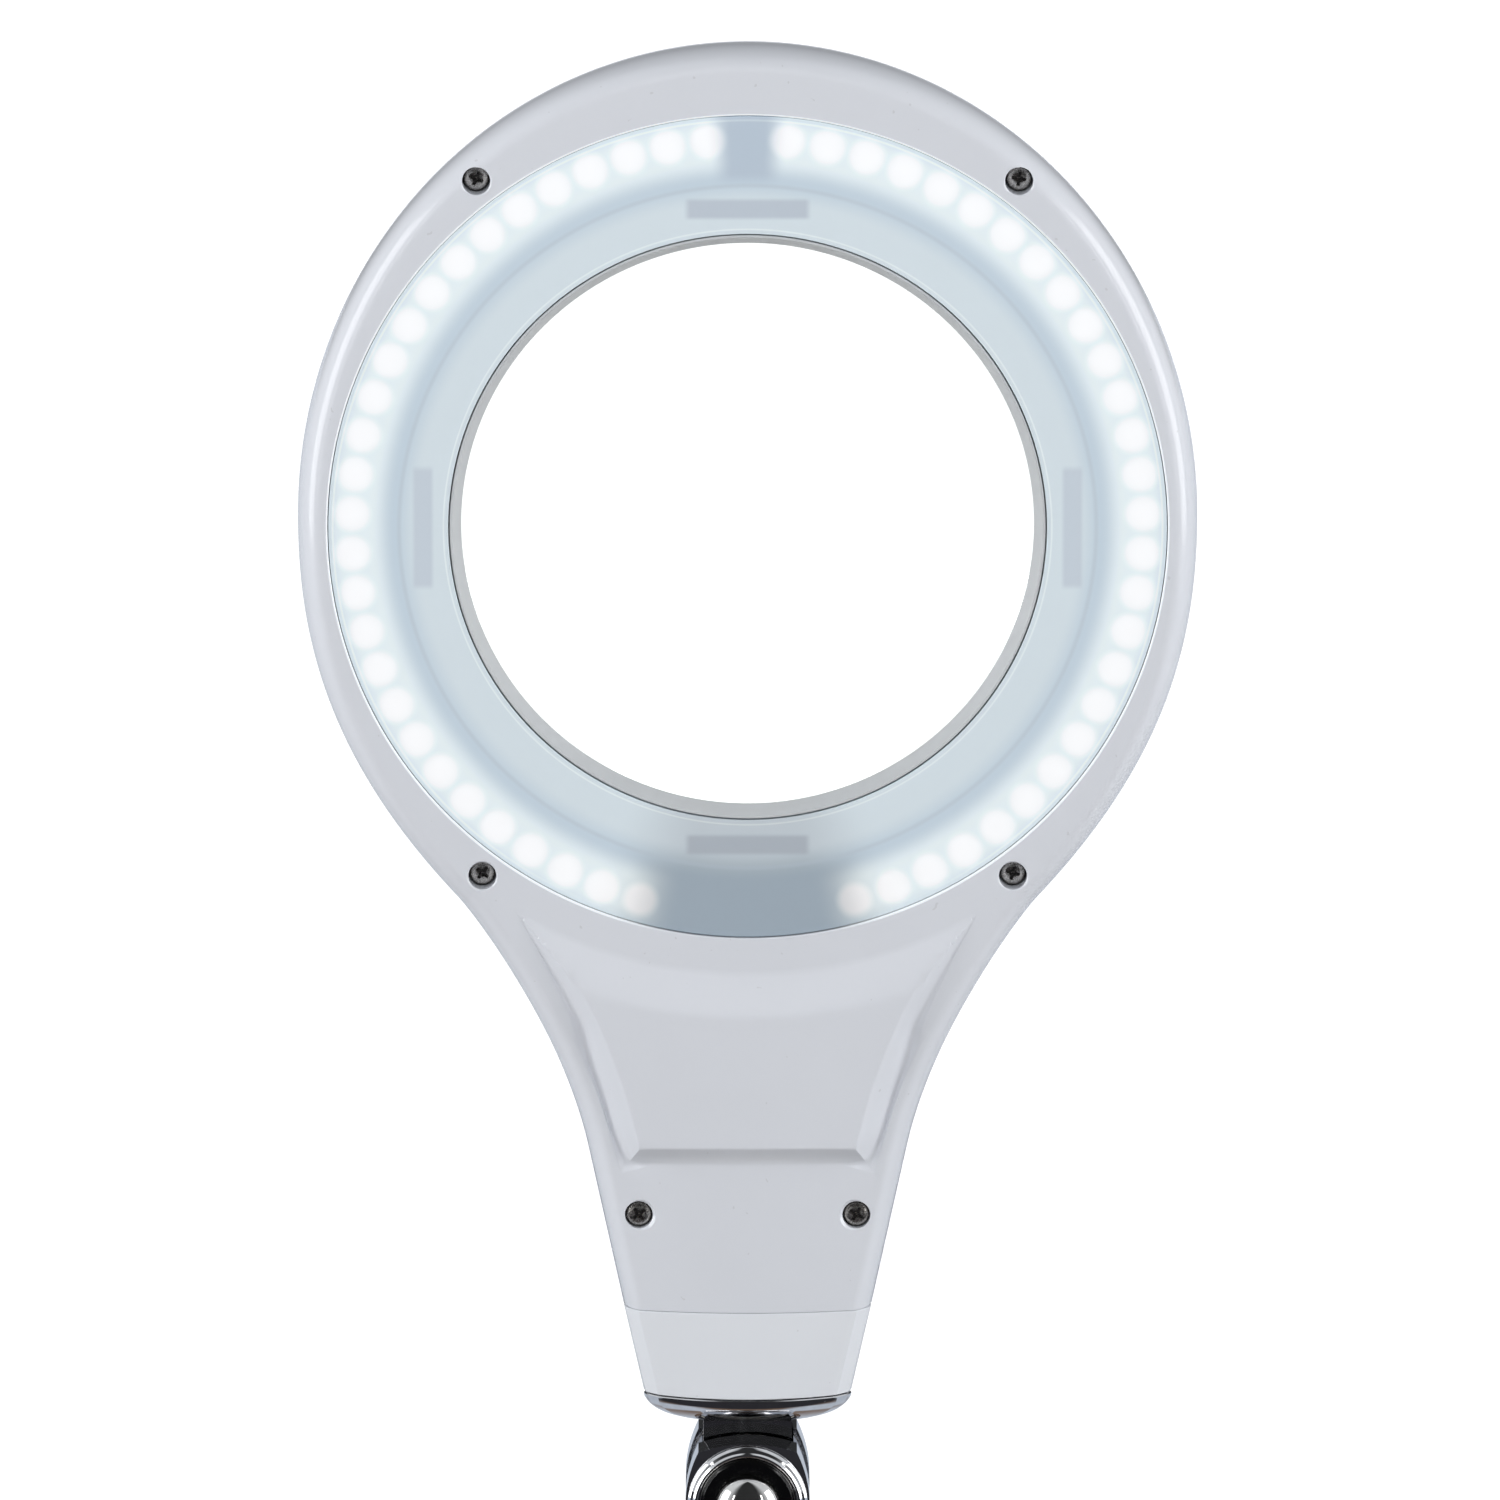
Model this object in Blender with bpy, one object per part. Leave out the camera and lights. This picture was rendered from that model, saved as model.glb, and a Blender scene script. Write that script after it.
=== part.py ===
"""Head of an LED magnifying lamp, with the knuckle that carries it on an arm.

Metres, +Z up. The origin is on the arm's axis, in the plane under the bush's flange.
The LED side faces -Y. The lens axis runs along Y, and the knuckle's tilt axis is parallel to it.
"""
import math

import bmesh
import bpy
from mathutils import Matrix, Vector
from mathutils.geometry import delaunay_2d_cdt

GAP = 0.0003                  # clearance between pieces that touch

# Heights of the three reference points above the origin.
PIVOT_Z = 0.030
LENS_Z = 0.2404

# Outline of the head, seen along the lens axis, from the lens centre.
HEAD_HALF_WIDTH = 0.0943
HEAD_WIDEST_Z = 0.0009
HEAD_TOP_Z = 0.1018
FLARE = ((0.0943, 0.0009), (0.0943, -0.0247), (0.0888, -0.0506), (0.0611, -0.0806))
NECK = ((0.0611, -0.0806), (0.0578, -0.0841), (0.0392, -0.1092), (0.0336, -0.1346))
NECK_TAPER = 0.218            # half-width lost per unit of height below the flare
SHELL_END_Z = -0.1689
COLLAR_END_Z = -0.1879
COLLAR_END_HALF_X = 0.0214
COLLAR_END_DEPTH = 0.96       # depth of the collar's lower end, against its upper end

# Depths, along Y.
FACE_Y = -0.0150
PARTING_Y = -0.0050
BACK_Y = 0.0155
FRONT_ROUND = 0.0044          # width of the rounded front edge
EDGE_DEPTH = 0.0046           # depth of the rounded front edge
WALL_DRAFT = 0.0005           # lean of the side wall between that edge and the parting line
BACK_DRAFT = 0.215            # inset per unit of depth behind the parting line
BACK_ROUND = 0.0075
WALL = 0.0024
FACE_WALL = 0.0036            # the front wall is thicker, because the neck's crown eats into it
CROWN = 0.00375               # how far the neck's front falls back at its sides
COLLAR_CROWN = 0.0065         # the same at the collar's lower end
CROWN_START_Z = -0.095
CROWN_FULL_Z = -0.150

# Raised panel on the neck.
PANEL_RISE = 0.0030
RAMP_TOP_R = 0.0957
RAMP_FOOT_R = 0.1045
PANEL_TIP_X = 0.0482
PANEL_TOP_X = 0.0348
PANEL_END_X = 0.0227
PANEL_END_Z = -0.1328
PANEL_BEVEL_END = (0.0250, -0.1369)
PANEL_BOW = 0.0012
BEVEL_WIDTH = 0.0048
HOLLOW_SCALE = (0.90, 0.985)  # the panel's inner hollow, against its outline

# Light window and lens.
WINDOW_R = 0.0880
LENS_R = 0.0635
LENS_SURFACE_R = 0.346        # about 3 dioptres in glass
LENS_EDGE = 0.0020
LENS_MID_Y = -0.0015
LENS_VIEW_R = 0.0600          # clear view, at the narrow end of the seat's funnel
LENS_CLEARANCE = 0.0004
TUBE_R = 0.0676               # outside of the tube behind the lens
TUBE_FLANGE_R = 0.0627        # inner edge of the flange that holds the lens from behind
TUBE_BORE_R = (0.0654, 0.0662)  # the bore flares from behind the flange to the back
TUBE_FLANGE_Y = (0.0001, 0.0014)
COVER_FRONT_Y = -0.0144
COVER_THICK = 0.0015
COVER_IN_R = 0.0627
COVER_OUT_R = 0.0877
TAB_R = 0.0680
TAB_LENGTH = 0.0260
TAB_WIDTH = 0.0042

# LEDs.
LED_COUNT = 28
LED_CIRCLE_R = 0.0835
LED_FIRST_DEG = 5.75
LED_PITCH_DEG = 5.86
LED_SIZE = 0.0034
LED_HEIGHT = 0.0008
BOARD_IN_R = 0.0786
BOARD_OUT_R = 0.0870
BOARD_Y = -0.0096
BOARD_THICK = 0.0012

# Casing screws.
SCREW_SPOTS = {
    "top_left": (-0.0567, 0.0740),
    "top_right": (0.0567, 0.0740),
    "side_left": (-0.0557, -0.0746),
    "side_right": (0.0557, -0.0746),
    "neck_left": (-0.0229, -0.1482),
    "neck_right": (0.0229, -0.1482),
}
SCREW_HEAD_R = 0.00270
SCREW_HEAD_Y = -0.0112
SCREW_SEAT_Y = -0.0090
SCREW_SHANK_R = 0.0014
SCREW_TIP_Y = 0.0055
COUNTERBORE_R = 0.00295
BOSS_R = 0.0056
BOSS_TIP_R = 0.0026
POST_R = 0.0036
PILOT_R = 0.00175
BOSS_END_Y = -0.0040

# Knuckle.
CAP_BOTTOM = 0.0160           # above the pivot
CAP_WAIST = 0.48              # size of the cap's foot, against its top
TONGUE_HALF_X = 0.00935
TONGUE_HALF_Y = 0.0048
EYE_R = 0.0120
SPINDLE_R = 0.0050
SPINDLE_TOP_Z = -0.1722
WASHER_THICK = 0.0010
CHEEK_THICK = 0.0085
CHEEK_TOP = 0.0130
CHEEK_CORNER = (0.0104, 0.0113)
CHEEK_HALF_X = 0.0131
SLOT_FLOOR = -0.0132          # below the pivot
BOLT_R = 0.0040
BOSS_RING_R = 0.0127
BOSS_DISC_R = 0.0103
CAP_NUT_R = 0.0069
CAP_NUT_HEIGHT = 0.0056
KNOB_R = 0.0104
KNOB_DEPTH = 0.0130
KNOB_LOBES = 6
KNOB_HOLLOW = 0.0008          # half the depth of the hollows between its lobes

# Joint to the arm.
BUSH_FLANGE_R = 0.0130
BUSH_FLANGE_THICK = 0.0023
BUSH_SLEEVE_R = 0.0070
BUSH_SLEEVE_LENGTH = 0.0200
PIN_R = 0.0050
PIN_BOTTOM = -0.0250
PIN_TOP = 0.0140
CLIP_Z = -0.0230
CLIP_THICK = 0.0012
CLIP_R = 0.0080

# Switch, cable inlet and driver board on the neck.
SWITCH_Z = -0.1230
SWITCH_HALF_X = 0.0075
SWITCH_HALF_Z = 0.0105
SWITCH_PIVOT_Y = 0.0125
ROCKER_TILT_DEG = 8.0
INLET_Z = -0.1530
INLET_HOLE_R = 0.0040
DRIVER_HALF_X = 0.0190
DRIVER_TOP_Z = -0.1000
DRIVER_BOTTOM_Z = -0.1400
DRIVER_Y = 0.0020

# Leads inside the head.
LEAD_R = 0.0008
BOARD_END_X = 0.0251          # where a lead meets the back of each LED board
BOARD_END_Z = -0.0786

SEGMENTS = 48
MEDIUM_SEGMENTS = 28
SMALL_SEGMENTS = 16
SHARP_DEG = 35.0
FLAT_DEG = 0.4                # faces closer than this to one plane are merged


# ---------------------------------------------------------------- general helpers

def clear_scene():
    for obj in list(bpy.data.objects):
        bpy.data.objects.remove(obj, do_unlink=True)


def material(name, colour, roughness, metallic=0.0, transmission=0.0):
    mat = bpy.data.materials.new(name)
    mat.use_nodes = True
    shader = mat.node_tree.nodes["Principled BSDF"]
    shader.inputs["Base Color"].default_value = (*colour, 1.0)
    shader.inputs["Roughness"].default_value = roughness
    shader.inputs["Metallic"].default_value = metallic
    shader.inputs["Transmission Weight"].default_value = transmission
    mat.diffuse_color = (*colour, 1.0)
    return mat


def add_object(name, bm, location=(0.0, 0.0, 0.0)):
    """Turns a bmesh, in coordinates about `location`, into an object with outward normals."""
    bmesh.ops.triangulate(bm, faces=bm.faces[:])
    bmesh.ops.recalc_face_normals(bm, faces=bm.faces[:])
    mesh = bpy.data.meshes.new(name)
    bm.to_mesh(mesh)
    bm.free()
    obj = bpy.data.objects.new(name, mesh)
    obj.location = location
    bpy.context.collection.objects.link(obj)
    return obj


def boolean(target, other, operation, solver="EXACT"):
    """Cuts or joins `other` into `target`, and removes `other`."""
    bpy.context.view_layer.update()
    modifier = target.modifiers.new("shape", "BOOLEAN")
    modifier.operation = operation
    modifier.solver = solver
    modifier.object = other
    depsgraph = bpy.context.evaluated_depsgraph_get()
    mesh = bpy.data.meshes.new_from_object(target.evaluated_get(depsgraph))
    target.modifiers.clear()
    target.data = mesh
    bpy.data.objects.remove(other, do_unlink=True)


def cut(target, *others):
    for other in others:
        boolean(target, other, "DIFFERENCE")


def join(target, *others):
    for other in others:
        boolean(target, other, "UNION")


def carve(target, *others):
    """A cut through the casing's long thin faces, where the exact solver leaves open edges."""
    for other in others:
        boolean(target, other, "DIFFERENCE", "MANIFOLD")


def fuse(target, *others):
    for other in others:
        boolean(target, other, "UNION", "MANIFOLD")


def finish(obj, mat):
    """Welds stray points, gives the piece its one material and its smooth shading."""
    bm = bmesh.new()
    bm.from_mesh(obj.data)
    bmesh.ops.remove_doubles(bm, verts=bm.verts[:], dist=1e-6)
    bmesh.ops.dissolve_degenerate(bm, edges=bm.edges[:], dist=1e-6)
    bmesh.ops.dissolve_limit(bm, angle_limit=math.radians(FLAT_DEG), verts=bm.verts[:], edges=bm.edges[:],
                             use_dissolve_boundaries=False)
    bmesh.ops.triangulate(bm, faces=bm.faces[:])
    bm.to_mesh(obj.data)
    bm.free()
    obj.data.materials.clear()
    obj.data.materials.append(mat)
    obj.data.shade_smooth()
    obj.data.set_sharp_from_angle(angle=math.radians(SHARP_DEG))
    return obj


def turned(name, profile, axis="Y", segments=SEGMENTS, location=(0.0, 0.0, 0.0)):
    """A solid of revolution. The profile is a closed list of (radius, position along the axis)."""
    bm = bmesh.new()
    if axis == "Y":
        points = [Vector((r, h, 0.0)) for r, h in profile]
        direction = Vector((0.0, 1.0, 0.0))
    else:
        points = [Vector((r, 0.0, h)) for r, h in profile]
        direction = Vector((0.0, 0.0, 1.0))
    verts = [bm.verts.new(p) for p in points]
    edges = []
    for i, vert in enumerate(verts):
        other = verts[(i + 1) % len(verts)]
        on_axis = profile[i][0] == 0.0 and profile[(i + 1) % len(verts)][0] == 0.0
        if not on_axis:
            edges.append(bm.edges.new((vert, other)))
    bmesh.ops.spin(bm, geom=verts + edges, cent=(0.0, 0.0, 0.0), axis=direction,
                   angle=2.0 * math.pi, steps=segments, use_merge=True)
    bmesh.ops.remove_doubles(bm, verts=bm.verts[:], dist=1e-7)
    return add_object(name, bm, location=location)


def rod(name, radius, start, end, axis="Y", segments=SMALL_SEGMENTS, location=(0.0, 0.0, 0.0)):
    """A plain cylinder from start to end along its axis."""
    profile = [(0.0, start), (radius, start), (radius, end), (0.0, end)]
    return turned(name, profile, axis, segments, location)


def prism(name, outline, start, end, axis="Y", location=(0.0, 0.0, 0.0)):
    """Extrudes a flat outline. Y: outline is (x, z). X: outline is (y, z). Z: outline is (x, y)."""
    def place(point, depth):
        a, b = point
        return {"Y": (a, depth, b), "X": (depth, a, b), "Z": (a, b, depth)}[axis]

    bm = bmesh.new()
    face = bm.faces.new([bm.verts.new(place(p, start)) for p in outline])
    moved = bmesh.ops.extrude_face_region(bm, geom=[face])
    shift = Vector(place((0.0, 0.0), end - start))
    top = [v for v in moved["geom"] if isinstance(v, bmesh.types.BMVert)]
    bmesh.ops.translate(bm, verts=top, vec=shift)
    return add_object(name, bm, location=location)


def box(name, low, high, location=(0.0, 0.0, 0.0)):
    outline = [(low[0], low[2]), (high[0], low[2]), (high[0], high[2]), (low[0], high[2])]
    return prism(name, outline, low[1], high[1], location=location)


def arc(centre, radius, start_deg, end_deg, steps):
    """Points on a circle, both ends included."""
    points = []
    for i in range(steps + 1):
        angle = math.radians(start_deg + (end_deg - start_deg) * i / steps)
        points.append((centre[0] + radius * math.cos(angle), centre[1] + radius * math.sin(angle)))
    return points


def bezier(controls, steps):
    """Points on a cubic Bezier curve, without its last point."""
    p0, p1, p2, p3 = [Vector(p) for p in controls]
    points = []
    for i in range(steps):
        t = i / steps
        s = 1.0 - t
        p = p0 * s ** 3 + p1 * 3 * s * s * t + p2 * 3 * s * t * t + p3 * t ** 3
        points.append((p.x, p.y))
    return points


def smoothstep(low, high, value):
    t = min(1.0, max(0.0, (value - low) / (high - low)))
    return t * t * (3.0 - 2.0 * t)


# ---------------------------------------------------------------- shape of the casing

def neck_half_width(z):
    """Half-width of the straight, tapering part of the neck at height z from the lens centre."""
    knee_x, knee_z = NECK[3]
    return knee_x + NECK_TAPER * (z - knee_z)


def half_outline(end_z):
    """Right-hand outline of the casing, from the neck's end up to just before the top."""
    knee = NECK[3]
    straight_steps = 3
    points = []
    for i in range(straight_steps):
        z = end_z + (knee[1] - end_z) * i / straight_steps
        points.append((neck_half_width(z), z))
    points += bezier(tuple(reversed(NECK)), 6)
    points += bezier(tuple(reversed(FLARE)), 6)
    arch_steps = 15
    for i in range(arch_steps):
        angle = 0.5 * math.pi * i / arch_steps
        x = HEAD_HALF_WIDTH * math.cos(angle)
        z = HEAD_WIDEST_Z + (HEAD_TOP_Z - HEAD_WIDEST_Z) * math.sin(angle)
        points.append((x, z))
    return points


def outline(inset, end_z=SHELL_END_Z):
    """The casing's outline moved inward: right side up, over the top, left side down."""
    right = half_outline(end_z)
    points = right + [(0.0, HEAD_TOP_Z)] + [(-x, z) for x, z in reversed(right)]
    moved = []
    for i, (x, z) in enumerate(points):
        before = Vector(points[max(i - 1, 0)])
        after = Vector(points[min(i + 1, len(points) - 1)])
        along = (after - before).normalized()
        shifted = Vector((x, z)) + Vector((-along.y, along.x)) * inset
        if i in (0, len(points) - 1):
            shifted += along * (end_z - shifted.y) / along.y
        moved.append((shifted.x, shifted.y))
    return moved


def crown_drop(x, z):
    """How far the neck's front surface lies behind the face plane."""
    amount = 1.0 - smoothstep(CROWN_FULL_Z, CROWN_START_Z, z)
    width = neck_half_width(min(z, NECK[3][1]))
    return CROWN * amount * min(1.0, abs(x) / width) ** 2


def back_inset(y):
    """Inset of the rear casing's surface at depth y: a draft that rounds off towards the back."""
    depth = y - PARTING_Y
    round_start = BACK_Y - BACK_ROUND
    inset = BACK_DRAFT * depth
    if y > round_start:
        t = min(1.0, (y - round_start) / BACK_ROUND)
        inset += BACK_ROUND * (1.0 - math.sqrt(max(0.0, 1.0 - t * t)))
    return inset


def panel_loops():
    """Foot and edge of the raised panel, as two loops of matching points."""
    arc_steps = 10
    side_steps = 5
    end_steps = 2
    tip_deg = math.degrees(math.acos(PANEL_TIP_X / RAMP_TOP_R))
    top_deg = math.degrees(math.acos(PANEL_TOP_X / RAMP_FOOT_R))
    foot = arc((0.0, 0.0), RAMP_TOP_R, -180.0 + tip_deg, -tip_deg, arc_steps)
    edge = arc((0.0, 0.0), RAMP_FOOT_R, -180.0 + top_deg, -top_deg, arc_steps)
    for i in range(1, side_steps + 1):
        t = i / side_steps
        bow = PANEL_BOW * 4.0 * t * (1.0 - t)
        top_z = edge[arc_steps][1]
        x = PANEL_TOP_X + (PANEL_END_X - PANEL_TOP_X) * t - bow
        z = top_z + (PANEL_END_Z - top_z) * t
        edge.append((x, z))
        width = BEVEL_WIDTH * min(1.0, 0.55 + t)
        if i == side_steps:
            foot.append(PANEL_BEVEL_END)
        else:
            foot.append((x + width, z - 0.25 * width))
    for i in range(1, end_steps):
        t = i / end_steps
        foot.append((PANEL_BEVEL_END[0] * (1.0 - 2.0 * t), PANEL_BEVEL_END[1]))
        edge.append((PANEL_END_X * (1.0 - 2.0 * t), PANEL_END_Z))
    for i in range(side_steps, 0, -1):
        mirror_index = arc_steps + i
        foot.append((-foot[mirror_index][0], foot[mirror_index][1]))
        edge.append((-edge[mirror_index][0], edge[mirror_index][1]))
    return foot, edge


def front_blank(location):
    """Closed block with the casing's front surface, rounded edge and flat parting face."""
    foot, edge = panel_loops()
    rim = outline(WALL_DRAFT + FRONT_ROUND)
    end_x = rim[0][0]
    end_steps = 8
    end_line = []
    for i in range(1, end_steps):
        end_line.append((-end_x + 2.0 * end_x * i / end_steps, SHELL_END_Z))
    border = rim + end_line

    points = [Vector(p) for p in border + foot + edge]
    edges = []
    start = 0
    for loop in (border, foot, edge):
        count = len(loop)
        edges += [(start + i, start + (i + 1) % count) for i in range(count)]
        start += count
    row_z = PANEL_BEVEL_END[1] - 0.006
    while row_z > SHELL_END_Z + 0.004:
        width = neck_half_width(row_z) - FRONT_ROUND - WALL_DRAFT
        for i in range(1, end_steps):
            points.append(Vector((-width + 2.0 * width * i / end_steps, row_z)))
        row_z -= 0.007
    result = delaunay_2d_cdt(points, edges, [], 1, 1e-6)
    flat_points, triangles, origins = result[0], result[2], result[3]

    bm = bmesh.new()
    face_verts = []
    spot = {}
    first_edge = len(border) + len(foot)
    for index, (point, sources) in enumerate(zip(flat_points, origins)):
        on_panel = any(first_edge <= s < first_edge + len(edge) for s in sources)
        y = FACE_Y - PANEL_RISE if on_panel else FACE_Y + crown_drop(point.x, point.y)
        face_verts.append(bm.verts.new((point.x, y, point.y)))
        for s in sources:
            spot[s] = face_verts[index]
    for triangle in triangles:
        bm.faces.new([face_verts[i] for i in triangle])

    loops = [[spot[i] for i in range(len(rim))]]
    round_steps = 3
    for k in range(1, round_steps + 1):
        angle = 0.5 * math.pi * k / round_steps
        inset = WALL_DRAFT + FRONT_ROUND * (1.0 - math.sin(angle))
        drop = EDGE_DEPTH * (1.0 - math.cos(angle))
        loop = []
        for (x, z), top in zip(outline(inset), loops[0]):
            loop.append(bm.verts.new((x, top.co.y + drop, z)))
        loops.append(loop)
    loops.append([bm.verts.new((x, PARTING_Y, z)) for x, z in outline(0.0)])
    for upper, lower in zip(loops, loops[1:]):
        for i in range(len(rim) - 1):
            bm.faces.new((upper[i], upper[i + 1], lower[i + 1], lower[i]))
    bm.faces.new(loops[-1])
    across = [spot[len(rim) + i] for i in range(len(end_line))]
    down_left = [loop[-1] for loop in reversed(loops)]
    down_right = [loop[0] for loop in loops]
    bm.faces.new(down_left + across + down_right)
    return add_object("front_bezel", bm, location=location)


def stacked_block(name, levels, end_z, location):
    """Closed block whose sections are the outline at each (y, inset) level."""
    bm = bmesh.new()
    loops = []
    for y, inset in levels:
        loops.append([bm.verts.new((x, y, z)) for x, z in outline(inset, end_z)])
    count = len(loops[0])
    for lower, upper in zip(loops, loops[1:]):
        for i in range(count):
            j = (i + 1) % count
            bm.faces.new((lower[i], lower[j], upper[j], upper[i]))
    bm.faces.new(loops[0])
    bm.faces.new(loops[-1])
    return add_object(name, bm, location=location)


def neck_section(z, inset, scale_x=1.0, scale_y=1.0, crown=CROWN):
    """Closed (x, y) section of the neck at height z: crowned front, rounded edges, drafted back.

    An inset shrinks the whole section towards the neck's axis by that much at its sides and faces.
    """
    half = neck_half_width(z)
    right = []
    front_steps = 4
    for i in range(front_steps + 1):
        x = (half - WALL_DRAFT - FRONT_ROUND) * i / front_steps
        right.append((x, FACE_Y + crown * (x / half) ** 2))
    edge_y = right[-1][1]
    for i in range(1, 4):
        angle = 0.5 * math.pi * i / 3
        x = half - WALL_DRAFT - FRONT_ROUND * (1.0 - math.sin(angle))
        right.append((x, edge_y + EDGE_DEPTH * (1.0 - math.cos(angle))))
    right.append((half, PARTING_Y))
    for y in back_levels():
        right.append((half - back_inset(y), y))
    points = right + [(-x, y) for x, y in reversed(right) if x > 0.0]
    shrink_x = scale_x * (1.0 - inset / half)
    shrink_y = scale_y * (1.0 - inset / BACK_Y)
    return [(x * shrink_x, y * shrink_y) for x, y in points]


def back_levels():
    """Depths of the rear casing's section rings behind the parting line."""
    round_start = BACK_Y - BACK_ROUND
    levels = [PARTING_Y + 0.6 * (round_start - PARTING_Y), round_start]
    steps = 3
    for i in range(1, steps + 1):
        levels.append(round_start + BACK_ROUND * math.sin(0.5 * math.pi * i / steps) * 0.995)
    return levels


def lofted(name, sections, location):
    """Closed block through sections given as (z, loop of (x, y)) with equal point counts."""
    bm = bmesh.new()
    loops = [[bm.verts.new((x, y, z)) for x, y in loop] for z, loop in sections]
    count = len(loops[0])
    for lower, upper in zip(loops, loops[1:]):
        for i in range(count):
            j = (i + 1) % count
            bm.faces.new((lower[i], lower[j], upper[j], upper[i]))
    bm.faces.new(loops[0])
    bm.faces.new(loops[-1])
    return add_object(name, bm, location=location)


# ---------------------------------------------------------------- casing

def make_front_bezel(mat, location):
    bezel = front_blank(location)
    reach = 0.002
    levels = [(FACE_Y + FACE_WALL, WALL + 0.0016), (FACE_Y + FACE_WALL + 0.0030, WALL + 0.0002),
              (PARTING_Y + reach, WALL)]
    cavity = stacked_block("cavity", levels, SHELL_END_Z - reach, location)
    for x, z in SCREW_SPOTS.values():
        spot = location + Vector((x, 0.0, z))
        carve(cavity, rod("keep", BOSS_R, FACE_Y, PARTING_Y + 2.0 * reach, location=spot))
    carve(bezel, cavity)
    foot, edge = panel_loops()
    inner = [(x * HOLLOW_SCALE[0], z * HOLLOW_SCALE[1]) for x, z in edge]
    carve(bezel, prism("hollow", inner, FACE_Y - PANEL_RISE + WALL, PARTING_Y, location=location))
    for x, z in SCREW_SPOTS.values():
        spot = location + Vector((x, 0.0, z))
        fuse(bezel, rod("boss", BOSS_TIP_R, PARTING_Y - 0.001, BOSS_END_Y, location=spot))
    carve(bezel, rod("window", WINDOW_R, FACE_Y - 0.01, PARTING_Y + 0.01, "Y", SEGMENTS, location))
    for x, z in SCREW_SPOTS.values():
        spot = location + Vector((x, 0.0, z))
        carve(bezel, rod("counterbore", COUNTERBORE_R, FACE_Y - 0.01, SCREW_SEAT_Y, location=spot))
        carve(bezel, rod("hole", PILOT_R, FACE_Y, BOSS_END_Y + 0.01, location=spot))
    return finish(bezel, mat)


def make_back_shell(mat, location):
    outer = [(PARTING_Y + GAP, 0.0)] + [(y, back_inset(y)) for y in back_levels()]
    shell = stacked_block("back_shell", outer, SHELL_END_Z, location)
    inner = [(PARTING_Y - 0.001, WALL)]
    for y in back_levels():
        inner.append((y - WALL, back_inset(y) + WALL * 0.9))
    cavity = stacked_block("cavity", inner, SHELL_END_Z - 0.002, location)
    carve(cavity, rod("tube", TUBE_R, -0.02, 0.03, segments=SEGMENTS, location=location))
    for x, z in SCREW_SPOTS.values():
        spot = location + Vector((x, 0.0, z))
        carve(cavity, rod("post", POST_R, BOSS_END_Y + GAP, BACK_Y, location=spot))
    carve(shell, cavity)
    flange_front, flange_back = TUBE_FLANGE_Y
    carve(shell, rod("mouth", TUBE_R + 0.0015, -0.02, flange_front, "Y", SEGMENTS, location))
    reach = 0.010
    slope = (TUBE_BORE_R[1] - TUBE_BORE_R[0]) / (BACK_Y - flange_back)
    bore = [(0.0, -0.02), (TUBE_FLANGE_R, -0.02), (TUBE_FLANGE_R, flange_back), (TUBE_BORE_R[0], flange_back),
            (TUBE_BORE_R[1] + slope * reach, BACK_Y + reach), (0.0, BACK_Y + reach)]
    carve(shell, turned("bore", bore, segments=SEGMENTS, location=location))
    for x, z in SCREW_SPOTS.values():
        spot = location + Vector((x, 0.0, z))
        carve(shell, rod("pilot", PILOT_R, -0.02, SCREW_TIP_Y + 0.0012, location=spot))
    half_x = SWITCH_HALF_X - 0.0008
    half_z = SWITCH_HALF_Z - 0.0008
    carve(shell, box("switch_hole", (-half_x, BACK_Y - 0.008, SWITCH_Z - half_z),
                   (half_x, BACK_Y + 0.01, SWITCH_Z + half_z), location))
    inlet = location + Vector((0.0, 0.0, INLET_Z))
    carve(shell, rod("inlet_hole", INLET_HOLE_R, BACK_Y - 0.008, BACK_Y + 0.01, location=inlet))
    return finish(shell, mat)


def collar_end(scale, inset=0.0):
    """Section of the collar's lower end, which the swivel cap under it shares."""
    end_x = scale * COLLAR_END_HALF_X / neck_half_width(COLLAR_END_Z)
    return neck_section(COLLAR_END_Z, inset, end_x, scale * COLLAR_END_DEPTH, COLLAR_CROWN)


def make_neck_collar(mat, location):
    top = SHELL_END_Z - GAP
    outer = [(top, neck_section(top, 0.0)), (COLLAR_END_Z, collar_end(1.0))]
    collar = lofted("neck_collar", outer, location)
    spigot_wall = 0.0014
    spigot_inset = WALL + 0.0018
    spigot_top = SHELL_END_Z + 0.0055
    spigot = lofted("spigot", [(top - 0.003, neck_section(top, spigot_inset)),
                               (spigot_top, neck_section(spigot_top, spigot_inset))], location)
    fuse(collar, spigot)
    floor_z = COLLAR_END_Z + 0.0060
    inset = spigot_inset + spigot_wall
    carve(collar, lofted("well", [(floor_z, neck_section(floor_z, inset)),
                                (spigot_top + 0.001, neck_section(spigot_top, inset))], location))
    bore = rod("bore", SPINDLE_R + 0.0005, COLLAR_END_Z - 0.01, floor_z + 0.01, axis="Z", location=location)
    carve(collar, bore)
    return finish(collar, mat)


# ---------------------------------------------------------------- light and lens

def make_led_cover(mat, location):
    back = COVER_FRONT_Y + COVER_THICK
    skirt_r = COVER_IN_R + 0.0014
    skirt_y = -0.0108
    profile = [(COVER_IN_R, COVER_FRONT_Y), (COVER_OUT_R, COVER_FRONT_Y), (COVER_OUT_R, back),
               (skirt_r, back), (skirt_r, skirt_y), (COVER_IN_R, skirt_y)]
    cover = turned("led_cover", profile, segments=SEGMENTS, location=location)
    half = TAB_LENGTH / 2.0
    for quarter in range(4):
        tab = box("tab", (-half, back - 0.0005, TAB_R - TAB_WIDTH / 2.0),
                  (half, back + 0.0036, TAB_R + TAB_WIDTH / 2.0))
        tab.data.transform(Matrix.Rotation(math.radians(90.0 * quarter), 4, "Y"))
        tab.location = location
        join(cover, tab)
    return finish(cover, mat)


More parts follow.
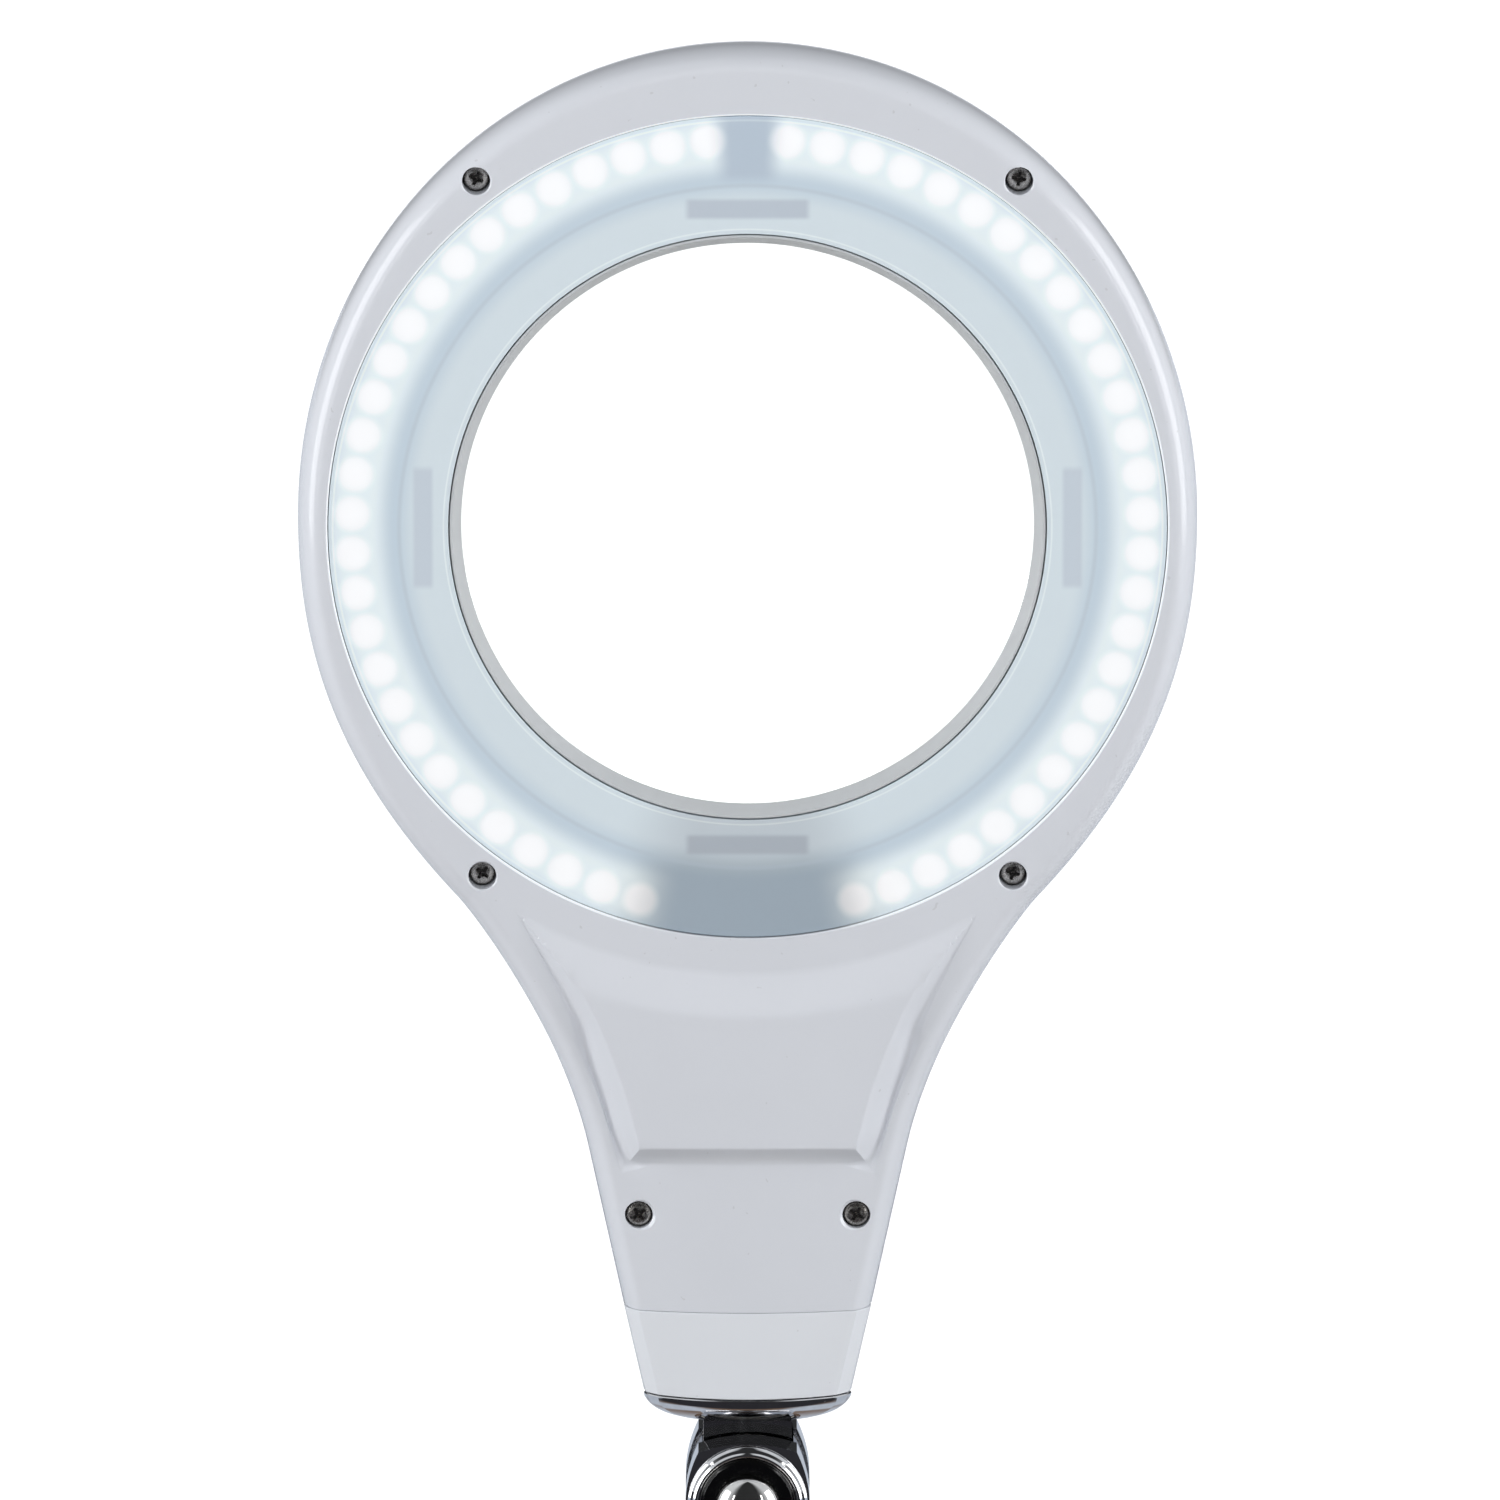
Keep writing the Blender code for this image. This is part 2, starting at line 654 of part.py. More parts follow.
def make_reflector_ring(mat, location):
    land_y = -0.0124
    floor_y = -0.0081
    sheet = 0.0016
    profile = [(0.0646, land_y), (0.0740, land_y), (0.0766, floor_y), (0.0875, floor_y),
               (0.0875, floor_y + sheet), (0.0757, floor_y + sheet), (0.0731, land_y + sheet),
               (0.0646, land_y + sheet)]
    ring = turned("reflector_ring", profile, segments=SEGMENTS, location=location)
    half = TAB_LENGTH / 2.0 + GAP
    for quarter in range(4):
        slot = box("slot", (-half, land_y - 0.001, TAB_R - TAB_WIDTH / 2.0 - GAP),
                   (half, land_y + 0.003, TAB_R + TAB_WIDTH / 2.0 + GAP))
        slot.data.transform(Matrix.Rotation(math.radians(90.0 * quarter), 4, "Y"))
        slot.location = location
        cut(ring, slot)
    for side in (-1.0, 1.0):
        spot = location + Vector((side * BOARD_END_X, 0.0, BOARD_END_Z))
        cut(ring, rod("lead_hole", LEAD_R * 2.0, land_y, 0.0, segments=8, location=spot))
    return finish(ring, mat)


def make_led_board(name, side, mat, location):
    """Half ring of circuit board. The LEDs are pads raised from the board's own front face."""
    half_led = math.degrees(0.5 * LED_SIZE / LED_CIRCLE_R)
    margin = 2.4
    angles = [LED_FIRST_DEG - half_led - margin]
    for i in range(LED_COUNT):
        centre = LED_FIRST_DEG + i * LED_PITCH_DEG
        angles += [centre - half_led, centre + half_led]
    angles.append(angles[-1] + margin)
    radii = [BOARD_IN_R, LED_CIRCLE_R - LED_SIZE / 2.0, LED_CIRCLE_R + LED_SIZE / 2.0, BOARD_OUT_R]
    bm = bmesh.new()
    grid = []
    for degrees in angles:
        turn = math.radians(degrees)
        row = []
        for radius in radii:
            x = side * radius * math.sin(turn)
            row.append(bm.verts.new((x, BOARD_Y, radius * math.cos(turn))))
        grid.append(row)
    pads = []
    for i in range(len(angles) - 1):
        for j in range(len(radii) - 1):
            corners = (grid[i][j], grid[i + 1][j], grid[i + 1][j + 1], grid[i][j + 1])
            face = bm.faces.new(corners)
            if j == 1 and i % 2 == 1:
                pads.append(face)
    sheet = list(bm.faces)
    solid = bmesh.ops.extrude_face_region(bm, geom=sheet, use_keep_orig=True)
    back = [v for v in solid["geom"] if isinstance(v, bmesh.types.BMVert)]
    bmesh.ops.translate(bm, verts=back, vec=(0.0, BOARD_THICK, 0.0))
    raised = bmesh.ops.extrude_discrete_faces(bm, faces=pads)
    for face in raised["faces"]:
        bmesh.ops.translate(bm, verts=face.verts[:], vec=(0.0, -LED_HEIGHT, 0.0))
    board = add_object(name, bm, location=location)
    return finish(board, mat)


def lens_sag(radius):
    return LENS_SURFACE_R - math.sqrt(LENS_SURFACE_R ** 2 - radius ** 2)


def make_lens(mat, location):
    steps = 4
    front = []
    for i in range(steps + 1):
        r = LENS_R * i / steps
        bulge = LENS_EDGE / 2.0 + lens_sag(LENS_R) - lens_sag(r)
        front.append((r, LENS_MID_Y - bulge))
    back = [(r, 2.0 * LENS_MID_Y - y) for r, y in reversed(front)]
    lens = turned("lens", front + back, segments=SEGMENTS, location=location)
    return finish(lens, mat)


def make_lens_seat_ring(mat, location):
    """Funnel in front of the lens, with a flange round its foot and a skirt round the lens."""
    lip_y = -0.0143
    lip_r = COVER_IN_R - GAP
    lip_wall = 0.0005
    lip_round = 0.0002
    throat_y = -0.0103
    flange_y = -0.0105
    shoulder_y = -0.0033
    shoulder_r = 0.0617
    bore = LENS_R + LENS_CLEARANCE
    outer = 0.0654
    skirt_y = -0.0004
    profile = [(LENS_VIEW_R, throat_y), (lip_r - lip_wall, lip_y + lip_round),
               (lip_r - 0.6 * lip_wall, lip_y), (lip_r, lip_y + lip_round), (lip_r, flange_y),
               (outer, flange_y), (outer, skirt_y), (bore, skirt_y), (bore, shoulder_y),
               (shoulder_r, shoulder_y), (LENS_VIEW_R + 0.0001, throat_y + 0.0004)]
    ring = turned("lens_seat_ring", profile, segments=SEGMENTS, location=location)
    return finish(ring, mat)


def make_casing_screw(name, spot, mat, location):
    under = SCREW_SEAT_Y - GAP
    rim = SCREW_HEAD_Y
    dome = rim - 0.0005
    shank_end = SCREW_TIP_Y - 0.0015
    profile = [(0.0, dome), (0.0016, dome + 0.0001), (SCREW_HEAD_R, rim), (SCREW_HEAD_R, under),
               (SCREW_SHANK_R, under), (SCREW_SHANK_R, shank_end), (0.0, SCREW_TIP_Y)]
    place = location + Vector((spot[0], 0.0, spot[1]))
    screw = turned(name, profile, segments=16, location=place)
    arm = 0.0016
    blade = 0.00035
    depth = 0.0010
    cross = box("cross", (-arm, dome - 0.001, -blade), (arm, dome + depth, blade), place)
    other = box("other", (-blade, dome - 0.001, -arm), (blade, dome + depth, arm), place)
    join(cross, other)
    cut(screw, cross)
    return finish(screw, mat)


# ---------------------------------------------------------------- electrics in the neck

def make_driver_board(mat, location):
    thick = 0.0016
    board = box("driver_board", (-DRIVER_HALF_X, DRIVER_Y - thick, DRIVER_BOTTOM_Z),
                (DRIVER_HALF_X, DRIVER_Y, DRIVER_TOP_Z), location)
    front = DRIVER_Y - thick
    overlap = 0.0003
    can = rod("can", 0.0040, front - 0.0075, front + overlap,
              location=location + Vector((-0.0115, 0.0, -0.1120)))
    coil = rod("coil", 0.0055, front - 0.0060, front + overlap,
               location=location + Vector((0.0100, 0.0, -0.1150)))
    chip = box("chip", (-0.0040, front - 0.0020, -0.1290), (0.0050, front + overlap, -0.1240), location)
    plug = box("plug", (-0.0150, front - 0.0050, -0.1370), (0.0150, front + overlap, -0.1320), location)
    join(board, can, coil, chip, plug)
    return finish(board, mat)


def make_switch_body(mat, location):
    half_x = SWITCH_HALF_X - 0.0011
    half_z = SWITCH_HALF_Z - 0.0011
    flange_y = BACK_Y + GAP
    flange_top = flange_y + 0.0016
    place = location + Vector((0.0, 0.0, SWITCH_Z))
    body = box("switch_body", (-half_x, 0.0060, -half_z), (half_x, flange_y + 0.0005, half_z), place)
    join(body, box("flange", (-SWITCH_HALF_X, flange_y, -SWITCH_HALF_Z),
                   (SWITCH_HALF_X, flange_top, SWITCH_HALF_Z), place))
    pocket_x = SWITCH_HALF_X - 0.0021
    pocket_z = SWITCH_HALF_Z - 0.0018
    cut(body, box("pocket", (-pocket_x, 0.0090, -pocket_z), (pocket_x, flange_top + 0.01, pocket_z), place))
    return finish(body, mat)


def make_switch_rocker(mat, location):
    half_x = SWITCH_HALF_X - 0.0025
    top = 0.0040
    dip = 0.0028
    half_top = 0.0078
    half_foot = 0.0066
    foot = -0.0016
    side = [(foot, -half_foot), (foot, half_foot), (top, half_top), (top - 0.0004, half_top * 0.55),
            (dip, 0.0), (top - 0.0004, -half_top * 0.55), (top, -half_top)]
    place = location + Vector((0.0, SWITCH_PIVOT_Y, SWITCH_Z))
    rocker = prism("switch_rocker", side, -half_x, half_x, axis="X", location=place)
    rocker.data.transform(Matrix.Rotation(math.radians(ROCKER_TILT_DEG), 4, "X"))
    return finish(rocker, mat)


def make_lead(name, route, mat, location):
    """Insulated lead along a smooth curve through the route's points."""
    steps_per_span = 2
    points = smooth_route(route, steps_per_span)
    curve = bpy.data.curves.new(name, "CURVE")
    curve.dimensions = "3D"
    curve.bevel_depth = LEAD_R
    curve.bevel_resolution = 1
    curve.use_fill_caps = True
    spline = curve.splines.new("POLY")
    spline.points.add(len(points) - 1)
    for point, place in zip(spline.points, points):
        point.co = (*place, 1.0)
    curve.materials.append(mat)
    lead = bpy.data.objects.new(name, curve)
    lead.location = location
    bpy.context.collection.objects.link(lead)
    return lead


def smooth_route(route, steps):
    """Catmull-Rom curve through the given points, with this many steps between neighbours."""
    nodes = [Vector(p) for p in route]
    nodes = [nodes[0] * 2.0 - nodes[1]] + nodes + [nodes[-1] * 2.0 - nodes[-2]]
    points = []
    for a, b, c, d in zip(nodes, nodes[1:], nodes[2:], nodes[3:]):
        for i in range(steps):
            t = i / steps
            points.append(0.5 * (2.0 * b + (c - a) * t + (2.0 * a - 5.0 * b + 4.0 * c - d) * t * t
                                 + (3.0 * b - a - 3.0 * c + d) * t ** 3))
    points.append(nodes[-2])
    return points


def led_lead_route(side):
    """From the driver board's front, behind the reflector, to the lower end of one LED board."""
    end_x = side * BOARD_END_X
    front = DRIVER_Y - 0.0016 - GAP - LEAD_R
    return ((side * 0.0040, front, -0.1045), (side * 0.0080, front - 0.0006, -0.1000),
            (side * 0.0140, -0.0030, -0.0935), (end_x - side * 0.0030, -0.0042, -0.0850),
            (end_x, -0.0052, BOARD_END_Z - 0.0016), (end_x, BOARD_Y + BOARD_THICK + GAP, BOARD_END_Z))


def make_cable_grommet(mat, location):
    bore = 0.0026
    neck_r = INLET_HOLE_R - GAP
    inner_r = 0.0052
    outer_r = 0.0056
    wall_in = BACK_Y - WALL
    profile = [(bore, wall_in - 0.0014), (inner_r, wall_in - 0.0012), (inner_r, wall_in - GAP),
               (neck_r, wall_in - GAP), (neck_r, BACK_Y + GAP), (outer_r, BACK_Y + GAP),
               (outer_r, BACK_Y + 0.0018), (outer_r - 0.0012, BACK_Y + 0.0030), (bore, BACK_Y + 0.0030)]
    place = location + Vector((0.0, 0.0, INLET_Z))
    grommet = turned("cable_grommet", profile, segments=SMALL_SEGMENTS, location=place)
    return finish(grommet, mat)


# ---------------------------------------------------------------- knuckle

def make_swivel_cap(mat, location):
    """Dish with the collar's outline at its top, rounding in to a flat foot on the tongue."""
    top = COLLAR_END_Z - GAP
    bottom = PIVOT_Z + CAP_BOTTOM - LENS_Z
    rim = 0.0008
    depth = top - bottom - rim
    sections = [(top, collar_end(1.0))]
    steps = 5
    for i in range(steps + 1):
        angle = 0.5 * math.pi * i / steps
        scale = 1.0 - (1.0 - CAP_WAIST) * (1.0 - math.cos(angle)) ** 0.8
        sections.append((top - rim - depth * math.sin(angle), collar_end(scale)))
    cap = lofted("swivel_cap", sections, location)
    cut(cap, rod("bore", SPINDLE_R + 0.0005, bottom - 0.01, top + 0.01, axis="Z", location=location))
    return finish(cap, mat)


def make_swivel_tongue(mat, location):
    """Flat bar with a round eye. Its spindle passes up through the cap and the collar's floor."""
    shoulder = CAP_BOTTOM - GAP
    join_deg = math.degrees(math.acos(TONGUE_HALF_X / EYE_R))
    profile = arc((0.0, 0.0), EYE_R, join_deg, -180.0 - join_deg, 24)
    profile += [(-TONGUE_HALF_X, shoulder), (TONGUE_HALF_X, shoulder)]
    tongue = prism("swivel_tongue", profile, -TONGUE_HALF_Y, TONGUE_HALF_Y, location=location)
    spindle_top = LENS_Z + SPINDLE_TOP_Z - PIVOT_Z
    spindle = turned("spindle", [(0.0, shoulder - 0.003), (SPINDLE_R - 0.0004, shoulder - 0.003),
                                 (SPINDLE_R, shoulder - 0.0026), (SPINDLE_R, spindle_top - 0.001),
                                 (SPINDLE_R - 0.001, spindle_top), (0.0, spindle_top)],
                     axis="Z", segments=SMALL_SEGMENTS, location=location)
    join(tongue, spindle)
    cut(tongue, rod("eye", BOLT_R + GAP, -0.02, 0.02, location=location))
    return finish(tongue, mat)


def make_spindle_washer(mat, location):
    low = COLLAR_END_Z + 0.0060 + GAP
    profile = [(SPINDLE_R + GAP, low), (0.0088, low), (0.0088, low + 0.0012), (SPINDLE_R + GAP, low + 0.0012)]
    washer = turned("spindle_washer", profile, axis="Z", segments=SMALL_SEGMENTS, location=location)
    return finish(washer, mat)


def make_spindle_nut(mat, location):
    low = COLLAR_END_Z + 0.0060 + 0.0012 + 2.0 * GAP
    hexagon = arc((0.0, 0.0), 0.0085, 0.0, 300.0, 5)
    nut = prism("spindle_nut", hexagon, low, low + 0.0050, axis="Z", location=location)
    cut(nut, rod("thread", SPINDLE_R + GAP, low - 0.01, low + 0.02, axis="Z", location=location))
    return finish(nut, mat)


def cheek_outline():
    """Barrel-shaped side view of the fork, from the pivot, round to its shoulder."""
    corner_x, corner_z = CHEEK_CORNER
    bottom_z = BUSH_FLANGE_THICK + GAP - PIVOT_Z
    shoulder_x = BUSH_FLANGE_R - 0.0004
    right = [(shoulder_x, bottom_z), (shoulder_x, bottom_z + 0.0050)]
    waist_z = bottom_z + 0.0080
    steps = 8
    for i in range(steps + 1):
        t = i / steps
        z = waist_z + (corner_z - waist_z) * t
        bow = (z / corner_z) ** 2 if z > 0.0 else (z / waist_z) ** 2 * 0.5
        right.append((CHEEK_HALF_X - (CHEEK_HALF_X - corner_x) * bow, z))
    top = []
    top_steps = 8
    for i in range(1, top_steps):
        x = corner_x * (1.0 - 2.0 * i / top_steps)
        top.append((x, CHEEK_TOP - (CHEEK_TOP - corner_z) * (x / corner_x) ** 2))
    return right + top + [(-x, z) for x, z in reversed(right)]


def make_clevis(mat, location):
    half_y = TONGUE_HALF_Y + 2.0 * GAP + WASHER_THICK + CHEEK_THICK
    clevis = prism("clevis", cheek_outline(), -half_y, half_y, location=location)
    slot_half = half_y - CHEEK_THICK
    cut(clevis, box("slot", (-0.03, -slot_half, SLOT_FLOOR), (0.03, slot_half, 0.03), location))
    bottom = BUSH_FLANGE_THICK + GAP - PIVOT_Z
    ring = turned("round_off", [(BUSH_FLANGE_R, bottom - 0.001), (0.03, bottom - 0.001),
                                (0.03, bottom + 0.009), (0.0172, bottom + 0.009),
                                (BUSH_FLANGE_R, bottom + 0.0050)],
                  axis="Z", segments=MEDIUM_SEGMENTS, location=location)
    cut(clevis, ring)
    cut(clevis, rod("bolt_hole", BOLT_R + GAP, -0.03, 0.03, location=location))
    pin_end = PIN_TOP + GAP - PIVOT_Z
    cut(clevis, rod("pin_hole", PIN_R + GAP, bottom - 0.01, pin_end, axis="Z", location=location))
    return finish(clevis, mat)


def cheek_face_y():
    return TONGUE_HALF_Y + 2.0 * GAP + WASHER_THICK + CHEEK_THICK


def make_boss_ring(mat, location):
    back = -cheek_face_y() - GAP
    front = back - 0.0020
    profile = [(BOSS_DISC_R + GAP, back), (BOSS_DISC_R + GAP, front), (BOSS_RING_R - 0.0008, front),
               (BOSS_RING_R, front + 0.0008), (BOSS_RING_R, back)]
    ring = turned("boss_ring", profile, segments=MEDIUM_SEGMENTS, location=location)
    return finish(ring, mat)


def make_boss_disc(mat, location):
    back = -cheek_face_y() - GAP
    front = back - 0.0014
    profile = [(BOLT_R + GAP, back), (BOLT_R + GAP, front), (BOSS_DISC_R, front), (BOSS_DISC_R, back)]
    disc = turned("boss_disc", profile, segments=MEDIUM_SEGMENTS, location=location)
    return finish(disc, mat)


def make_cap_nut(mat, location):
    back = -cheek_face_y() - 2.0 * GAP - 0.0014
    steps = 5
    profile = [(BOLT_R + GAP, back), (BOLT_R + GAP, back - 0.0030), (0.0, back - 0.0030)]
    for i in range(steps + 1):
        angle = 0.5 * math.pi * i / steps
        profile.append((CAP_NUT_R * math.sin(angle),
                        back - 0.0014 - (CAP_NUT_HEIGHT - 0.0014) * math.cos(angle)))
    profile.append((CAP_NUT_R, back))
    nut = turned("cap_nut", profile, segments=MEDIUM_SEGMENTS, location=location)
    return finish(nut, mat)


def make_clamp_bolt(mat, location):
    front = -cheek_face_y() - 2.0 * GAP - 0.0014 - 0.0030 + GAP
    rear = cheek_face_y() + KNOB_DEPTH - 0.0030
    bolt = turned("clamp_bolt", [(0.0, front), (BOLT_R, front), (BOLT_R, rear - 0.0008),
                                 (BOLT_R - 0.0008, rear), (0.0, rear)],
                  segments=SMALL_SEGMENTS, location=location)
    return finish(bolt, mat)


def make_friction_washer(name, side, mat, location):
    near = side * (TONGUE_HALF_Y + GAP)
    far = side * (TONGUE_HALF_Y + GAP + WASHER_THICK)
    profile = [(BOLT_R + GAP, near), (0.0116, near), (0.0116, far), (BOLT_R + GAP, far)]
    washer = turned(name, profile, segments=MEDIUM_SEGMENTS, location=location)
    return finish(washer, mat)


def make_tension_knob(mat, location):
    """Lobed hand knob: its outline is a circle with shallow hollows between the lobes."""
    near = cheek_face_y() + GAP
    steps = KNOB_LOBES * 8
    outline_points = []
    for i in range(steps):
        angle = 2.0 * math.pi * i / steps
        radius = KNOB_R - KNOB_HOLLOW * (1.0 - math.cos(KNOB_LOBES * angle))
        outline_points.append((radius * math.cos(angle), radius * math.sin(angle)))
    hub_r = KNOB_R - 2.0 * KNOB_HOLLOW - 0.0012
    hub = rod("tension_knob", hub_r, near, near + 0.0040, segments=24, location=location)
    grip = prism("grip", outline_points, near + 0.0035, near + KNOB_DEPTH, location=location)
    join(hub, grip)
    cut(hub, rod("thread", BOLT_R + GAP, near - 0.01, near + KNOB_DEPTH - 0.0024, location=location))
    return finish(hub, mat)


# ---------------------------------------------------------------- joint to the arm

def make_arm_pin(mat, location):
    groove_r = PIN_R - 0.0008
    low = CLIP_Z - CLIP_THICK / 2.0 - GAP
    high = CLIP_Z + CLIP_THICK / 2.0 + GAP
    profile = [(0.0, PIN_BOTTOM), (PIN_R - 0.0006, PIN_BOTTOM), (PIN_R, PIN_BOTTOM + 0.0006), (PIN_R, low),
               (groove_r, low), (groove_r, high), (PIN_R, high), (PIN_R, PIN_TOP), (0.0, PIN_TOP)]
    pin = turned("arm_pin", profile, axis="Z", segments=SMALL_SEGMENTS, location=location)
    return finish(pin, mat)


def make_pin_clip(mat, location):
    """Snap ring with a gap, sitting in the pin's groove."""
    inner = PIN_R - 0.0008 + GAP
    opening = 35.0
    ring = arc((0.0, 0.0), CLIP_R, opening, 360.0 - opening, 24)
    ring += arc((0.0, 0.0), inner, 360.0 - opening, opening, 24)
    low = CLIP_Z - CLIP_THICK / 2.0
    clip = prism("pin_clip", ring, low, low + CLIP_THICK, axis="Z", location=location)
    return finish(clip, mat)


def make_arm_bush(mat, location):
    bore = PIN_R + GAP
    profile = [(bore, -BUSH_SLEEVE_LENGTH), (BUSH_SLEEVE_R, -BUSH_SLEEVE_LENGTH), (BUSH_SLEEVE_R, 0.0),
               (BUSH_FLANGE_R, 0.0), (BUSH_FLANGE_R, BUSH_FLANGE_THICK), (bore, BUSH_FLANGE_THICK)]
    bush = turned("arm_bush", profile, axis="Z", segments=MEDIUM_SEGMENTS, location=location)
    return finish(bush, mat)


# ---------------------------------------------------------------- assembly

def main():
    clear_scene()
    lens_centre = Vector((0.0, 0.0, LENS_Z))
    pivot = Vector((0.0, 0.0, PIVOT_Z))
    origin = Vector((0.0, 0.0, 0.0))

    white = (0.60, 0.62, 0.66)
    make_front_bezel(material("front_bezel", white, 0.32), lens_centre)
    make_back_shell(material("back_shell", white, 0.34), lens_centre)
    make_neck_collar(material("neck_collar", (0.62, 0.64, 0.68), 0.30), lens_centre)

    make_led_cover(material("led_cover", (0.88, 0.95, 0.98), 0.18, transmission=0.85), lens_centre)
    make_reflector_ring(material("reflector_ring", (0.72, 0.79, 0.83), 0.45), lens_centre)
    make_led_board("led_board_left", -1.0, material("led_board_left", (0.90, 0.95, 1.0), 0.4), lens_centre)
    make_led_board("led_board_right", 1.0, material("led_board_right", (0.90, 0.95, 1.0), 0.4), lens_centre)
    make_lens(material("lens", (0.97, 1.0, 0.99), 0.02, transmission=1.0), lens_centre)
    make_lens_seat_ring(material("lens_seat_ring", (0.47, 0.50, 0.52), 0.45), lens_centre)
    for spot, place in SCREW_SPOTS.items():
        name = "casing_screw_" + spot
        make_casing_screw(name, place, material(name, (0.55, 0.53, 0.50), 0.28, 1.0), lens_centre)

    make_driver_board(material("driver_board", (0.05, 0.22, 0.10), 0.5), lens_centre)
    lead_red = (0.60, 0.05, 0.04)
    make_lead("led_lead_left", led_lead_route(-1.0), material("led_lead_left", lead_red, 0.5), lens_centre)
    make_lead("led_lead_right", led_lead_route(1.0), material("led_lead_right", lead_red, 0.5), lens_centre)
    make_switch_body(material("switch_body", (0.03, 0.03, 0.03), 0.45), lens_centre)
    make_switch_rocker(material("switch_rocker", (0.04, 0.04, 0.04), 0.35), lens_centre)
    make_cable_grommet(material("cable_grommet", (0.05, 0.05, 0.05), 0.7), lens_centre)

    make_swivel_cap(material("swivel_cap", (0.62, 0.61, 0.60), 0.07, 1.0), lens_centre)
    make_swivel_tongue(material("swivel_tongue", (0.45, 0.44, 0.43), 0.10, 1.0), pivot)
    make_spindle_washer(material("spindle_washer", (0.85, 0.85, 0.80), 0.5), lens_centre)
    make_spindle_nut(material("spindle_nut", (0.65, 0.64, 0.60), 0.3, 1.0), lens_centre)
    make_clevis(material("clevis", (0.62, 0.61, 0.60), 0.08, 1.0), pivot)
    make_boss_ring(material("boss_ring", (0.70, 0.69, 0.68), 0.08, 1.0), pivot)
    make_boss_disc(material("boss_disc", (0.05, 0.05, 0.05), 0.35), pivot)
    make_cap_nut(material("cap_nut", (0.75, 0.74, 0.72), 0.08, 1.0), pivot)
    make_clamp_bolt(material("clamp_bolt", (0.60, 0.59, 0.57), 0.3, 1.0), pivot)
    nylon = (0.80, 0.79, 0.74)
    make_friction_washer("friction_washer_front", -1.0, material("friction_washer_front", nylon, 0.5), pivot)
    make_friction_washer("friction_washer_rear", 1.0, material("friction_washer_rear", nylon, 0.5), pivot)
    make_tension_knob(material("tension_knob", (0.03, 0.03, 0.03), 0.45), pivot)

    make_arm_pin(material("arm_pin", (0.62, 0.61, 0.59), 0.25, 1.0), origin)
    make_pin_clip(material("pin_clip", (0.35, 0.35, 0.35), 0.3, 1.0), origin)
    make_arm_bush(material("arm_bush", (0.08, 0.08, 0.08), 0.5), origin)


main()
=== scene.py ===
"""Looks of the magnifying lamp's head and knuckle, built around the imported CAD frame.

Metres, +Z up, in the frame's own coordinates. Head pieces are built about the lens centre, knuckle
pieces about the tilt axis. The LED side faces -Y.
"""

import math

import bmesh
import bpy
from mathutils import Matrix, Vector
from mathutils.geometry import delaunay_2d_cdt


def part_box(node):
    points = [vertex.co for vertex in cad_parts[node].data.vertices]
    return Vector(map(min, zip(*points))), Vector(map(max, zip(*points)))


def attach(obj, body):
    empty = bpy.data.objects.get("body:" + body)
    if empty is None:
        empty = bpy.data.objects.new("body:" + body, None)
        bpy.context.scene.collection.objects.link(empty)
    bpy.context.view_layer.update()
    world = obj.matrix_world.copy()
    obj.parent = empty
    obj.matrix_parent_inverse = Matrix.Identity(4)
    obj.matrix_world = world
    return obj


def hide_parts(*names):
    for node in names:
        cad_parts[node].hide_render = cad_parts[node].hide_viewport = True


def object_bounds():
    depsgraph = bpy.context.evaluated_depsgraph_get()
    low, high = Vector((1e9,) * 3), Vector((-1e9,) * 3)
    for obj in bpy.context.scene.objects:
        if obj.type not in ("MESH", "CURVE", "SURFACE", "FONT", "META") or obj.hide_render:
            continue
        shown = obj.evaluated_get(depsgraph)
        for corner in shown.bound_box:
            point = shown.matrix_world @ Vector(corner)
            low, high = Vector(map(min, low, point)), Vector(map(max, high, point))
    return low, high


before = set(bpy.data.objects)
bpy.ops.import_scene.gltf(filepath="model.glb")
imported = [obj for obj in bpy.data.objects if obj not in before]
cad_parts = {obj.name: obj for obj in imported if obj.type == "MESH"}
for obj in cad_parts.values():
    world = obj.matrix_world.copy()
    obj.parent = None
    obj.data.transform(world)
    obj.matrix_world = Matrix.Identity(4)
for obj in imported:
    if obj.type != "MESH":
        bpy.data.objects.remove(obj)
CAD_BOUNDS = [[float(v) for v in corner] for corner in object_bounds()]


def middle(node):
    low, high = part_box(node)
    return (low + high) / 2.0


LENS = Vector((0.0, 0.0, middle("lens").z))
PIVOT = Vector((0.0, 0.0, middle("boss_ring").z))

# Outline of the head, from the lens centre: (x, z). FLARE and NECK are the controls of Bezier curves.
HEAD_HALF_WIDTH = 0.0943
HEAD_WIDEST_Z = 0.0009
HEAD_TOP_Z = 0.1018
FLARE = ((0.0943, 0.0009), (0.0943, -0.0247), (0.0888, -0.0506), (0.0611, -0.0806))
NECK = ((0.0611, -0.0806), (0.0578, -0.0841), (0.0392, -0.1092), (0.0336, -0.1346))
NECK_TAPER = 0.218
SHELL_END_Z = -0.1689
COLLAR_END_Z = -0.1879
COLLAR_END_HALF_X = 0.0219
COLLAR_END_DEPTH = 0.96

# Depths, along Y.
FACE_Y = -0.0150
PARTING_Y = -0.0050
BACK_Y = 0.0155
FRONT_ROUND = 0.0048
EDGE_DEPTH = 0.0088
WALL_DRAFT = 0.0001
BACK_DRAFT = 0.215
BACK_ROUND = 0.0075
WALL = 0.0024
FACE_WALL = 0.0036
CROWN = 0.00375
COLLAR_CROWN = 0.0065
CROWN_START_Z = -0.095
CROWN_FULL_Z = -0.150
GAP = 0.0003

